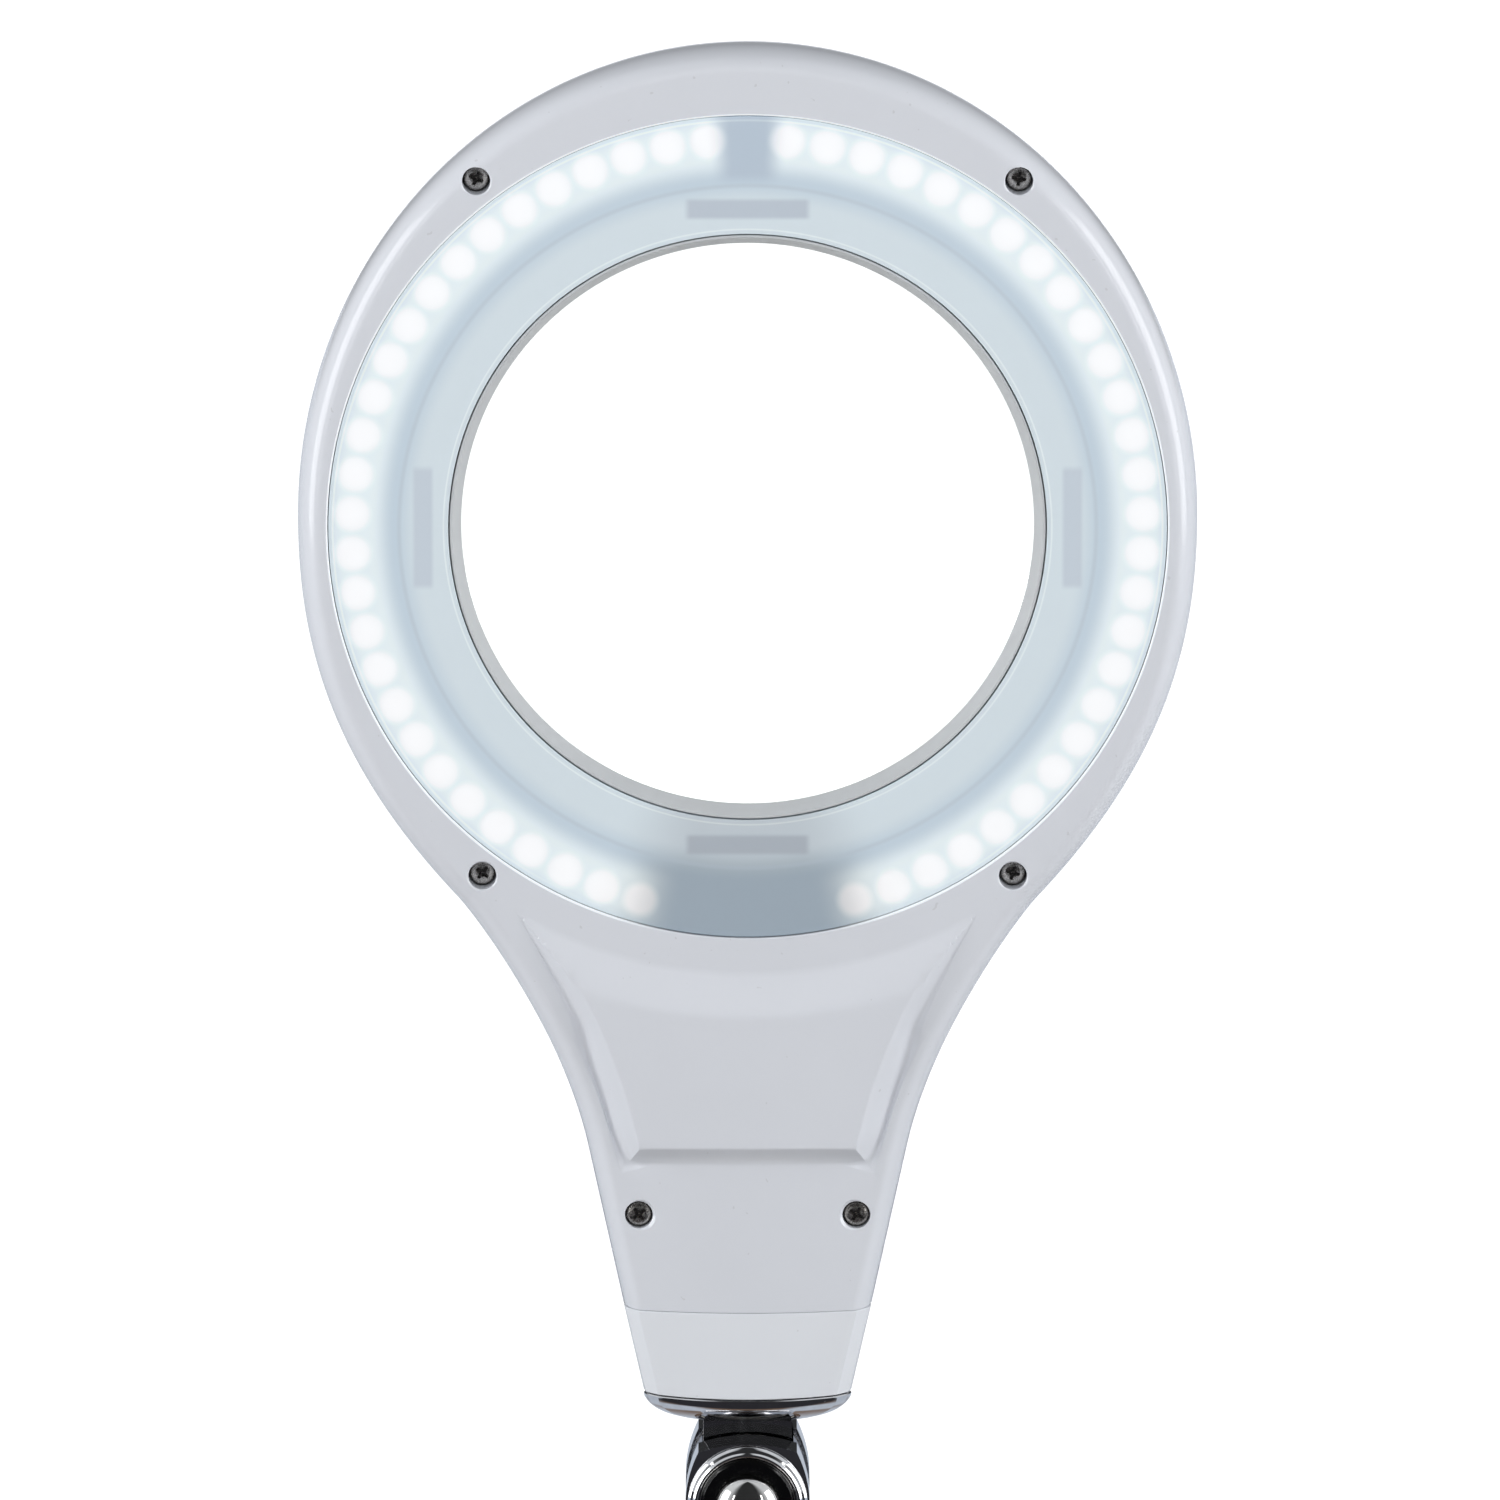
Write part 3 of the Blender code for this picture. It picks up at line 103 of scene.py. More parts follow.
# Raised panel on the neck.
PANEL_RISE = 0.0030
RAMP_TOP_R = 0.0957
RAMP_FOOT_R = 0.1045
PANEL_TIP_X = 0.0482
PANEL_TOP_X = 0.0348
PANEL_END_X = 0.0227
PANEL_END_Z = -0.1328
PANEL_BEVEL_END = (0.0250, -0.1369)
PANEL_BOW = 0.0012
BEVEL_WIDTH = 0.0048
BEVEL_BLEND = 0.09            # rounding of the bevel's corners, as a share of its width
BEVEL_KNEE = 0.42             # where the neck's side bevel gets steeper, as a share of its width
VALLEY_REACH = 0.6            # how far the valley outside the bevel goes, as a share of its width
VALLEY_DEPTH = 0.0008
HOLLOW_SCALE = (0.90, 0.985)

# Light window and lens.
WINDOW_R = 0.0880
WINDOW_EDGE = 0.0003
LENS_R = 0.0635
LENS_SURFACE_R = 0.346
LENS_EDGE = 0.0020
LENS_MID_Y = -0.0015
LENS_VIEW_R = 0.0600
TUBE_R = 0.0676
TUBE_FLANGE_R = 0.0627
TUBE_BORE_R = (0.0654, 0.0662)
TUBE_FLANGE_Y = (0.0001, 0.0014)
COVER_FRONT_Y = -0.0144
COVER_THICK = 0.0015
COVER_IN_R = 0.0627
COVER_OUT_R = 0.0878
TAB_R = 0.0680
TAB_HALF_LENGTH = 0.0127
TAB_HALF_WIDTH = 0.0020
LED_COUNT = 28
LED_CIRCLE_R = 0.0829
LED_FIRST_DEG = 5.75
LED_PITCH_DEG = 5.87

# Casing screws.
SCREW_SPOTS = {
    "top_left": (-0.0567, 0.0740),
    "top_right": (0.0567, 0.0740),
    "side_left": (-0.0557, -0.0746),
    "side_right": (0.0557, -0.0746),
    "neck_left": (-0.0229, -0.1482),
    "neck_right": (0.0229, -0.1482),
}
SCREW_TURN_DEG = {
    "top_left": 24.0, "top_right": 8.0, "side_left": 38.0,
    "side_right": 15.0, "neck_left": 52.0, "neck_right": 30.0,
}
SCREW_HEAD_R = 0.00270
SCREW_HEAD_Y = -0.0112
COUNTERBORE_R = 0.00295
SCREW_SEAT_Y = -0.0090
SCREW_TIP_Y = 0.0055
PILOT_R = 0.00175
BOSS_TIP_R = 0.0026
BOSS_END_Y = -0.0040
POST_R = 0.0036
BOSS_R = 0.0056

# Knuckle, from the tilt axis.
CAP_WAIST = 0.48
CAP_BOTTOM = 0.0160
TONGUE_HALF_X = 0.00935
TONGUE_HALF_Y = 0.0048
EYE_R = 0.0120
SPINDLE_R = 0.0050
SPINDLE_TOP_Z = -0.1722
WASHER_THICK = 0.0010
CHEEK_THICK = 0.0085
CHEEK_TOP = 0.0130
CHEEK_CORNER = (0.0104, 0.0113)
CHEEK_HALF_X = 0.0131
CHEEK_FACE_Y = TONGUE_HALF_Y + 2.0 * GAP + WASHER_THICK + CHEEK_THICK
SLOT_FLOOR = -0.0132
BOLT_R = 0.0040
BOSS_RING_R = 0.0127
BOSS_DISC_R = 0.0103
CAP_NUT_R = 0.0069
CAP_NUT_HEIGHT = 0.0056
KNOB_R = 0.0104
KNOB_DEPTH = 0.0130
KNOB_LOBES = 6
KNOB_HOLLOW = 0.0008
PIN_R = 0.0050
PIN_TOP = 0.0140
BUSH_FLANGE_R = 0.0130
BUSH_FLANGE_THICK = 0.0023

SWITCH_Z = -0.1230
SWITCH_HALF_X = 0.0075
SWITCH_HALF_Z = 0.0105
SWITCH_PIVOT_Y = 0.0125
ROCKER_TILT_DEG = 8.0
INLET_Z = -0.1530
INLET_HOLE_R = 0.0040

ROUND = 240                   # segments of the large circles
MEDIUM = 96
SMALL = 48
SHARP_DEG = 38.0

SEEN_WHITE = 1.15             # strength of the background that the camera sees
FLOOR_DROP = 0.090            # the head hangs, and tilts below its own bush


# ---------------------------------------------------------------- mesh helpers

def link(obj):
    bpy.context.scene.collection.objects.link(obj)
    return obj


def to_object(name, bm, place):
    bmesh.ops.triangulate(bm, faces=[f for f in bm.faces if len(f.verts) > 4])
    bmesh.ops.recalc_face_normals(bm, faces=bm.faces[:])
    mesh = bpy.data.meshes.new(name)
    bm.to_mesh(mesh)
    bm.free()
    obj = link(bpy.data.objects.new(name, mesh))
    obj.location = place
    return obj


def bake(obj):
    """Makes the modified shape the object's own mesh."""
    bpy.context.view_layer.update()
    depsgraph = bpy.context.evaluated_depsgraph_get()
    mesh = bpy.data.meshes.new_from_object(obj.evaluated_get(depsgraph))
    obj.modifiers.clear()
    obj.data = mesh


def combine(target, other, operation):
    modifier = target.modifiers.new("shape", "BOOLEAN")
    modifier.operation = operation
    modifier.solver = "MANIFOLD"
    modifier.object = other
    bake(target)
    bpy.data.objects.remove(other, do_unlink=True)


def carve(target, other):
    combine(target, other, "DIFFERENCE")


def fuse(target, other):
    combine(target, other, "UNION")


def soften(obj, width, segments=3, angle_deg=40.0):
    """Rounds the edges sharper than the angle."""
    modifier = obj.modifiers.new("edges", "BEVEL")
    modifier.width = width
    modifier.segments = segments
    modifier.limit_method = "ANGLE"
    modifier.angle_limit = math.radians(angle_deg)
    modifier.harden_normals = False
    bake(obj)


def piece(obj, node, body, mat):
    """Shading, material and the frame's declarations of a finished piece."""
    bm = bmesh.new()
    bm.from_mesh(obj.data)
    bmesh.ops.remove_doubles(bm, verts=bm.verts[:], dist=1e-6)
    bmesh.ops.dissolve_degenerate(bm, edges=bm.edges[:], dist=1e-6)
    bm.to_mesh(obj.data)
    bm.free()
    obj.data.materials.clear()
    obj.data.materials.append(mat)
    obj.data.shade_smooth()
    obj.data.set_sharp_from_angle(angle=math.radians(SHARP_DEG))
    normals = obj.modifiers.new("normals", "WEIGHTED_NORMAL")
    normals.mode = "FACE_AREA"
    normals.keep_sharp = True
    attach(obj, body)
    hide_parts(node)
    return obj


def rounded(profile, radius, steps=4):
    """A closed polygon with its corners rounded, except corners on the axis (first value 0)."""
    points = []
    count = len(profile)
    for i, corner in enumerate(profile):
        here = Vector(corner)
        to_before = Vector(profile[i - 1]) - here
        to_after = Vector(profile[(i + 1) % count]) - here
        shortest = min(to_before.length, to_after.length)
        if corner[0] == 0.0 or shortest < 1e-9 or to_before.angle(to_after) > math.radians(165.0):
            points.append((here.x, here.y))
            continue
        reach = min(radius / math.tan(to_before.angle(to_after) / 2.0), 0.45 * shortest)
        start = here + to_before.normalized() * reach
        end = here + to_after.normalized() * reach
        for k in range(steps + 1):
            t = k / steps
            p = start * (1.0 - t) ** 2 + here * 2.0 * t * (1.0 - t) + end * t * t
            points.append((p.x, p.y))
    return points


def turned(name, profile, place, segments=MEDIUM, axis="Y"):
    """Solid of revolution, from a closed polygon of (radius, height)."""
    def spot(a, b, h):
        return (a, h, b) if axis == "Y" else (a, b, h)

    bm = bmesh.new()
    rings = []
    for r, h in profile:
        count = segments if r > 0.0 else 1
        turns = [2.0 * math.pi * i / segments for i in range(count)]
        rings.append([bm.verts.new(spot(r * math.cos(a), r * math.sin(a), h)) for a in turns])
    for ring, other in zip(rings, rings[1:] + rings[:1]):
        for i in range(segments):
            j = (i + 1) % segments
            corners = dict.fromkeys((ring[i % len(ring)], ring[j % len(ring)],
                                     other[j % len(other)], other[i % len(other)]))
            if len(corners) > 2:
                bm.faces.new(list(corners))
    return to_object(name, bm, place)


def rod(name, radius, start, end, place, segments=SMALL, axis="Y"):
    profile = [(0.0, start), (radius, start), (radius, end), (0.0, end)]
    return turned(name, profile, place, segments, axis)


def skin(bm, loops):
    """Faces between closed loops of vertices with equal counts."""
    count = len(loops[0])
    for lower, upper in zip(loops, loops[1:]):
        for i in range(count):
            j = (i + 1) % count
            bm.faces.new((lower[i], lower[j], upper[j], upper[i]))


def stacked(name, loops, place):
    """Closed block through loops of points with equal counts."""
    bm = bmesh.new()
    rings = [[bm.verts.new(point) for point in loop] for loop in loops]
    skin(bm, rings)
    bm.faces.new(rings[0])
    bm.faces.new(rings[-1])
    return to_object(name, bm, place)


def prism(name, outline, start, end, place, axis="Y"):
    def spot(point, depth):
        a, b = point
        return {"Y": (a, depth, b), "X": (depth, a, b)}[axis]

    return stacked(name, [[spot(p, depth) for p in outline] for depth in (start, end)], place)


def box(name, low, high, place):
    outline = [(low[0], low[2]), (high[0], low[2]), (high[0], high[2]), (low[0], high[2])]
    return prism(name, outline, low[1], high[1], place)


def lofted(name, sections, place):
    """Closed block through sections given as (z, loop of (x, y))."""
    return stacked(name, [[(x, y, z) for x, y in loop] for z, loop in sections], place)


def arc(centre, radius, start_deg, end_deg, steps):
    points = []
    for i in range(steps + 1):
        angle = math.radians(start_deg + (end_deg - start_deg) * i / steps)
        points.append((centre[0] + radius * math.cos(angle), centre[1] + radius * math.sin(angle)))
    return points


def bezier(controls, steps):
    p0, p1, p2, p3 = [Vector(p) for p in controls]
    points = []
    for i in range(steps):
        t = i / steps
        s = 1.0 - t
        p = p0 * s ** 3 + p1 * 3 * s * s * t + p2 * 3 * s * t * t + p3 * t ** 3
        points.append((p.x, p.y))
    return points


def smoothstep(low, high, value):
    t = min(1.0, max(0.0, (value - low) / (high - low)))
    return t * t * (3.0 - 2.0 * t)


# ---------------------------------------------------------------- casing shape

def neck_half_width(z):
    knee_x, knee_z = NECK[3]
    return knee_x + NECK_TAPER * (z - knee_z)


def half_outline(end_z):
    points = []
    straight_steps = 10
    for i in range(straight_steps):
        z = end_z + (NECK[3][1] - end_z) * i / straight_steps
        points.append((neck_half_width(z), z))
    points += bezier(tuple(reversed(NECK)), 28)
    points += bezier(tuple(reversed(FLARE)), 34)
    arch_steps = 70
    for i in range(arch_steps):
        angle = 0.5 * math.pi * i / arch_steps
        x = HEAD_HALF_WIDTH * math.cos(angle)
        z = HEAD_WIDEST_Z + (HEAD_TOP_Z - HEAD_WIDEST_Z) * math.sin(angle)
        points.append((x, z))
    return points


def outline(inset, end_z=SHELL_END_Z):
    right = half_outline(end_z)
    points = right + [(0.0, HEAD_TOP_Z)] + [(-x, z) for x, z in reversed(right)]
    moved = []
    for i, (x, z) in enumerate(points):
        before = Vector(points[max(i - 1, 0)])
        after = Vector(points[min(i + 1, len(points) - 1)])
        along = (after - before).normalized()
        shifted = Vector((x, z)) + Vector((-along.y, along.x)) * inset
        if i in (0, len(points) - 1):
            shifted += along * (end_z - shifted.y) / along.y
        moved.append((shifted.x, shifted.y))
    return moved


def crown_drop(x, z):
    amount = 1.0 - smoothstep(CROWN_FULL_Z, CROWN_START_Z, z)
    width = neck_half_width(min(z, NECK[3][1]))
    return CROWN * amount * min(1.0, abs(x) / width) ** 2


def back_inset(y):
    depth = y - PARTING_Y
    round_start = BACK_Y - BACK_ROUND
    inset = BACK_DRAFT * depth
    if y > round_start:
        t = min(1.0, (y - round_start) / BACK_ROUND)
        inset += BACK_ROUND * (1.0 - math.sqrt(max(0.0, 1.0 - t * t)))
    return inset


def back_levels():
    round_start = BACK_Y - BACK_ROUND
    levels = [PARTING_Y + share * (round_start - PARTING_Y) for share in (0.3, 0.6, 1.0)]
    steps = 10
    for i in range(1, steps + 1):
        levels.append(round_start + BACK_ROUND * math.sin(0.5 * math.pi * i / steps) * 0.995)
    return levels


def panel_loops():
    """Foot and edge of the raised panel, as two closed loops of matching points."""
    arc_steps = 64
    side_steps = 26
    end_steps = 20
    tip_deg = math.degrees(math.acos(PANEL_TIP_X / RAMP_TOP_R))
    top_deg = math.degrees(math.acos(PANEL_TOP_X / RAMP_FOOT_R))
    foot = arc((0.0, 0.0), RAMP_TOP_R, -180.0 + tip_deg, -tip_deg, arc_steps)
    edge = arc((0.0, 0.0), RAMP_FOOT_R, -180.0 + top_deg, -top_deg, arc_steps)
    foot_corner = foot[-1]
    top_z = edge[arc_steps][1]
    for i in range(1, side_steps + 1):
        t = i / side_steps
        x = PANEL_TOP_X + (PANEL_END_X - PANEL_TOP_X) * t - PANEL_BOW * 4.0 * t * (1.0 - t)
        z = top_z + (PANEL_END_Z - top_z) * t
        edge.append((x, z))
        width = BEVEL_WIDTH * min(1.0, 0.55 + t)
        join = smoothstep(0.0, 0.22, t)
        end = smoothstep(0.86, 1.0, t)
        fx = foot_corner[0] + (x + width - foot_corner[0]) * join
        fz = foot_corner[1] + (z - 0.25 * width - foot_corner[1]) * join
        fx += (PANEL_BEVEL_END[0] - fx) * end
        fz += (PANEL_BEVEL_END[1] - fz) * end
        foot.append((fx, fz))
    for i in range(1, end_steps):
        t = i / end_steps
        foot.append((PANEL_BEVEL_END[0] * (1.0 - 2.0 * t), PANEL_BEVEL_END[1]))
        edge.append((PANEL_END_X * (1.0 - 2.0 * t), PANEL_END_Z))
    for i in range(side_steps, 0, -1):
        foot.append((-foot[arc_steps + i][0], foot[arc_steps + i][1]))
        edge.append((-edge[arc_steps + i][0], edge[arc_steps + i][1]))
    return foot, edge


def panel_share(t, side, end):
    """Height share across the bevel, from its foot (0) to the panel's edge (1).

    The ramp under the ring is even, the neck's sides (`side` = 1) are gentle and then steeper, and
    the bevel across the neck (`end` = 1) is hollow.
    """
    knee_height = 0.26
    t = min(1.0, max(0.0, t))
    if t < BEVEL_KNEE:
        two_slopes = knee_height * t / BEVEL_KNEE
    else:
        two_slopes = knee_height + (1.0 - knee_height) * (t - BEVEL_KNEE) / (1.0 - BEVEL_KNEE)
    return (1.0 - side - end) * t + side * two_slopes + end * t ** 1.6


def valley_room(rim, foot_point, edge_point):
    """Share of the valley's full reach that fits between the bevel's foot and the rounded rim."""
    least = 0.05
    fx, fz = foot_point
    width = abs(fx) - abs(edge_point[0])
    if width < 0.001:
        return least
    low_z = min(fz, fz + VALLEY_REACH * (fz - edge_point[1]))
    limit = abs(fx)
    for (x0, z0), (x1, z1) in zip(rim, rim[1:]):
        if z0 <= low_z < z1:
            limit = x0 + (x1 - x0) * (low_z - z0) / (z1 - z0)
    margin = 0.0003
    share = (limit - margin - abs(fx)) / width
    return min(1.0, max(least, (share - BEVEL_BLEND) / (VALLEY_REACH - BEVEL_BLEND)))


def window_loops():
    """Rounded edge of the light window, as loops of (x, z, y) from the face inwards."""
    loops = []
    for share, drop in ((1.0, 0.0), (0.45, 0.12), (0.12, 0.45), (0.0, 1.0)):
        ring = arc((0.0, 0.0), WINDOW_R + WINDOW_EDGE * share, 0.0, 360.0, ROUND)[:-1]
        loops.append([(x, z, FACE_Y + WINDOW_EDGE * drop) for x, z in ring])
    return loops


def bevel_loop(t, foot, edge, rooms):
    """Loop of (x, z, y) at the share t across the panel's bevel. Below 0 it lies in the valley outside."""
    top_z = edge[0][1]
    loop = []
    for (fx, fz), (ex, ez), room in zip(foot, edge, rooms):
        down = (ez - top_z) / (PANEL_END_Z - top_z)
        end = smoothstep(0.86, 1.0, down) * (1.0 - smoothstep(0.80, 1.0, abs(ex) / PANEL_END_X))
        side = smoothstep(0.02, 0.30, down) * (1.0 - end)
        if math.hypot(ex, ez) < RAMP_FOOT_R + 1e-6:
            side = 0.0
        out = t if t > -BEVEL_BLEND else -BEVEL_BLEND + (t + BEVEL_BLEND) * side * room
        x = fx + (ex - fx) * out
        z = fz + (ez - fz) * out
        height = 0.5 * panel_share(t, side, end)
        for shift in (-BEVEL_BLEND, BEVEL_BLEND):
            height += 0.25 * panel_share(t + shift, side, end)
        dip = side * smoothstep(-VALLEY_REACH, -0.1, t) * (1.0 - smoothstep(0.0, BEVEL_KNEE, t))
        base = FACE_Y + crown_drop(x, z) + VALLEY_DEPTH * dip
        loop.append((x, z, base + (FACE_Y - PANEL_RISE - base) * height))
    return loop


def plain_rows():
    """Points (x, z) in rows across the plain face below the panel, clear of the screw wells."""
    spots = []
    across = 16
    clear = COUNTERBORE_R + 0.0015
    z = PANEL_BEVEL_END[1] - 0.004
    while z > SHELL_END_Z + 0.002:
        width = neck_half_width(z) - FRONT_ROUND - WALL_DRAFT - 0.001
        for i in range(across + 1):
            spot = Vector((-width + 2.0 * width * i / across, z))
            if all((spot - Vector(s)).length > clear for s in SCREW_SPOTS.values()):
                spots.append(spot)
        z -= 0.003
    return spots


def face_skin(bm, loops, hole):
    """Front face through all loops of (x, z, y), open inside the loop numbered `hole`.

    Gives the vertices of each loop.
    """
    points = []
    heights = []
    edges = []
    owner = []
    for number, loop in enumerate(loops):
        start = len(points)
        count = len(loop)
        points += [Vector((x, z)) for x, z, y in loop]
        heights += [y for x, z, y in loop]
        owner += [number] * count
        edges += [(start + i, start + (i + 1) % count) for i in range(count)]
    for spot in plain_rows():
        points.append(spot)
        heights.append(FACE_Y + crown_drop(spot.x, spot.y))
        owner.append(-1)
    result = delaunay_2d_cdt(points, edges, [], 1, 1e-7)
    flat, triangles, origins = result[0], result[2], result[3]

    verts = []
    vert_of = {}
    for point, sources in zip(flat, origins):
        y = heights[sources[0]] if sources else FACE_Y + crown_drop(point.x, point.y)
        verts.append(bm.verts.new((point.x, y, point.y)))
        for source in sources:
            vert_of[source] = verts[-1]
    owners = [set(owner[source] for source in sources) for sources in origins]
    for triangle in triangles:
        if hole not in set.intersection(*[owners[i] for i in triangle]):
            bm.faces.new([verts[i] for i in triangle])
    rings = []
    start = 0
    for loop in loops:
        rings.append([vert_of[start + i] for i in range(len(loop))])
        start += len(loop)
    return rings


def flat_ring(bm, outer, inner):
    """Flat face between two closed loops of vertices."""
    verts = outer + inner
    count = len(outer)
    edges = [(i, (i + 1) % count) for i in range(count)]
    edges += [(count + i, count + (i + 1) % len(inner)) for i in range(len(inner))]
    result = delaunay_2d_cdt([Vector((v.co.x, v.co.z)) for v in verts], edges, [], 1, 1e-7)
    triangles, origins = result[2], result[3]
    for triangle in triangles:
        corners = [origins[i][0] for i in triangle]
        if min(corners) < count:
            bm.faces.new([verts[corner] for corner in corners])


def rim_walls(bm, rim):
    """Rounded front edge and side wall down from the rim's vertices, as rows of vertices."""
    rows = [rim]
    steps = 12
    for k in range(1, steps + 1):
        angle = 0.5 * math.pi * k / steps
        inset = WALL_DRAFT + FRONT_ROUND * (1.0 - math.sin(angle))
        drop = EDGE_DEPTH * (1.0 - math.cos(angle))
        rows.append([bm.verts.new((x, top.co.y + drop, z)) for (x, z), top in zip(outline(inset), rim)])
    lip = 0.0003
    for inset, y in ((0.0, PARTING_Y - lip), (lip, PARTING_Y)):
        rows.append([bm.verts.new((x, y, z)) for x, z in outline(inset)])
    for upper, lower in zip(rows, rows[1:]):
        for i in range(len(rim) - 1):
            bm.faces.new((upper[i], upper[i + 1], lower[i + 1], lower[i]))
    return rows


def make_front_bezel(mat):
    foot, edge = panel_loops()
    rim = outline(WALL_DRAFT + FRONT_ROUND)
    end_steps = 24
    end_x = rim[0][0]
    border = rim + [(-end_x + 2.0 * end_x * i / end_steps, SHELL_END_Z) for i in range(1, end_steps)]
    loops = [[(x, z, FACE_Y + crown_drop(x, z)) for x, z in border]] + window_loops()
    hole = len(loops) - 1
    rooms = [valley_room(rim, f, e) for f, e in zip(foot, edge)]
    shares = [-VALLEY_REACH, -0.45, -0.3, -0.18, -BEVEL_BLEND, 0.0, BEVEL_BLEND, 0.24,
              BEVEL_KNEE - BEVEL_BLEND, BEVEL_KNEE, BEVEL_KNEE + BEVEL_BLEND, 0.70,
              1.0 - BEVEL_BLEND, 1.0, 1.0 + BEVEL_BLEND]
    loops += [bevel_loop(t, foot, edge, rooms) for t in shares]

    bm = bmesh.new()
    rings = face_skin(bm, loops, hole)
    rows = rim_walls(bm, rings[0][:len(rim)])
    end_line = rings[0][len(rim):]
    bm.faces.new([row[-1] for row in reversed(rows)] + end_line + [row[0] for row in rows])
    window = rings[hole]
    low = [bm.verts.new((v.co.x, PARTING_Y, v.co.z)) for v in window]
    skin(bm, [window, low])
    flat_ring(bm, rows[-1], low)
    bezel = to_object("casing_front", bm, LENS)
    hollow_out(bezel, edge)
    return piece(bezel, "front_bezel", "head", mat)


def screw_places():
    return [LENS + Vector((x, 0.0, z)) for x, z in SCREW_SPOTS.values()]


def hollow_out(bezel, panel_edge):
    """Takes out the front casing's inside, and leaves its walls, screw bosses and pilot holes."""
    reach = 0.002
    deep = FACE_Y + FACE_WALL
    levels = [(deep, WALL + 0.0016), (deep + 0.0030, WALL + 0.0002), (PARTING_Y + reach, WALL)]
    cavity = stacked_block("cavity", levels, SHELL_END_Z - reach, LENS)
    for spot in screw_places():
        carve(cavity, rod("keep", BOSS_R, FACE_Y, PARTING_Y + 2.0 * reach, spot))
    carve(bezel, cavity)
    inner = [(x * HOLLOW_SCALE[0], z * HOLLOW_SCALE[1]) for x, z in panel_edge]
    carve(bezel, prism("hollow", inner, FACE_Y - PANEL_RISE + WALL, PARTING_Y, LENS))
    edge = 0.0003
    mouth_r = COUNTERBORE_R + 2.0 * edge
    for spot, (x, z) in zip(screw_places(), SCREW_SPOTS.values()):
        face = FACE_Y + crown_drop(x, z)
        well = [(0.0, SCREW_SEAT_Y), (COUNTERBORE_R, SCREW_SEAT_Y), (COUNTERBORE_R, face + edge),
                (mouth_r, face - edge), (mouth_r, face - 0.01), (0.0, face - 0.01)]
        carve(bezel, turned("counterbore", well, spot, SMALL))
    for spot in screw_places():
        fuse(bezel, rod("boss", BOSS_TIP_R, PARTING_Y - 0.001, BOSS_END_Y, spot))
        carve(bezel, rod("pilot", PILOT_R, FACE_Y, BOSS_END_Y + 0.01, spot))


def stacked_block(name, levels, end_z, place):
    """Block with the head's outline, through levels given as (y, inset)."""
    return stacked(name, [[(x, y, z) for x, z in outline(inset, end_z)] for y, inset in levels], place)


def make_back_shell(mat):
    lip = 0.0004
    outer = [(PARTING_Y + GAP, lip), (PARTING_Y + GAP + lip, 0.0)]
    outer += [(y, back_inset(y)) for y in back_levels()]
    shell = stacked_block("casing_back", outer, SHELL_END_Z, LENS)
    inner = [(PARTING_Y - 0.001, WALL)]
    for y in back_levels()[::3]:
        inner.append((y - WALL, back_inset(y) + WALL * 0.9))
    cavity = stacked_block("cavity", inner, SHELL_END_Z - 0.002, LENS)
    carve(cavity, rod("tube", TUBE_R, -0.02, 0.03, LENS, ROUND))
    for spot in screw_places():
        carve(cavity, rod("post", POST_R, BOSS_END_Y + GAP, BACK_Y, spot))
    carve(shell, cavity)
    flange_front, flange_back = TUBE_FLANGE_Y
    carve(shell, rod("mouth", TUBE_R + 0.0015, -0.02, flange_front, LENS, ROUND))
    edge_r = 0.0008
    start_r, end_r = TUBE_BORE_R
    bore = [(0.0, -0.02), (TUBE_FLANGE_R, -0.02), (TUBE_FLANGE_R, flange_back), (start_r, flange_back)]
    steps = 6
    for i in range(steps + 1):
        angle = 0.5 * math.pi * i / steps
        bore.append((end_r + edge_r * (1.0 - math.cos(angle)), BACK_Y - edge_r * (1.0 - math.sin(angle))))
    bore += [(end_r + edge_r, BACK_Y + 0.01), (0.0, BACK_Y + 0.01)]
    carve(shell, turned("bore", bore, LENS, ROUND))
    for spot in screw_places():
        carve(shell, rod("pilot", PILOT_R, -0.02, SCREW_TIP_Y + 0.0012, spot))
    half_x = SWITCH_HALF_X - 0.0008
    half_z = SWITCH_HALF_Z - 0.0008
    carve(shell, box("switch_hole", (-half_x, BACK_Y - 0.008, SWITCH_Z - half_z),
                     (half_x, BACK_Y + 0.01, SWITCH_Z + half_z), LENS))
    inlet = LENS + Vector((0.0, 0.0, INLET_Z))
    carve(shell, rod("inlet_hole", INLET_HOLE_R, BACK_Y - 0.008, BACK_Y + 0.01, inlet))
    return piece(shell, "back_shell", "head", mat)


def neck_section(z, inset, scale_x=1.0, scale_y=1.0, crown=CROWN):
    """Closed (x, y) section of the collar: crowned front, faceted front corners, drafted back."""
    half = neck_half_width(z)
    facet = 0.0031
    facet_depth = 0.0030
    wall_draft = 0.0003
    right = []
    front_steps = 14
    for i in range(front_steps + 1):
        x = (half - facet) * i / front_steps
        right.append((x, FACE_Y + crown * (x / half) ** 2))
    edge_y = right[-1][1]
    corner = 0.0006
    for share in (0.04, 0.35, 0.65, 0.90):
        right.append((half - facet + (facet - wall_draft) * share, edge_y + facet_depth * share))
    right.append((half - wall_draft, edge_y + facet_depth + corner))
    right.append((half, PARTING_Y))
    for y in back_levels():
        right.append((half - back_inset(y), y))
    points = right + [(-x, y) for x, y in reversed(right) if x > 0.0]
    shrink_x = scale_x * (1.0 - inset / half)
    shrink_y = scale_y * (1.0 - inset / BACK_Y)
    return [(x * shrink_x, y * shrink_y) for x, y in points]


def collar_end(scale_x, scale_y, inset=0.0):
    """Section of the collar's lower end, which the swivel dish under it shares."""
    end_x = scale_x * COLLAR_END_HALF_X / neck_half_width(COLLAR_END_Z)
    return neck_section(COLLAR_END_Z, inset, end_x, scale_y * COLLAR_END_DEPTH, COLLAR_CROWN)


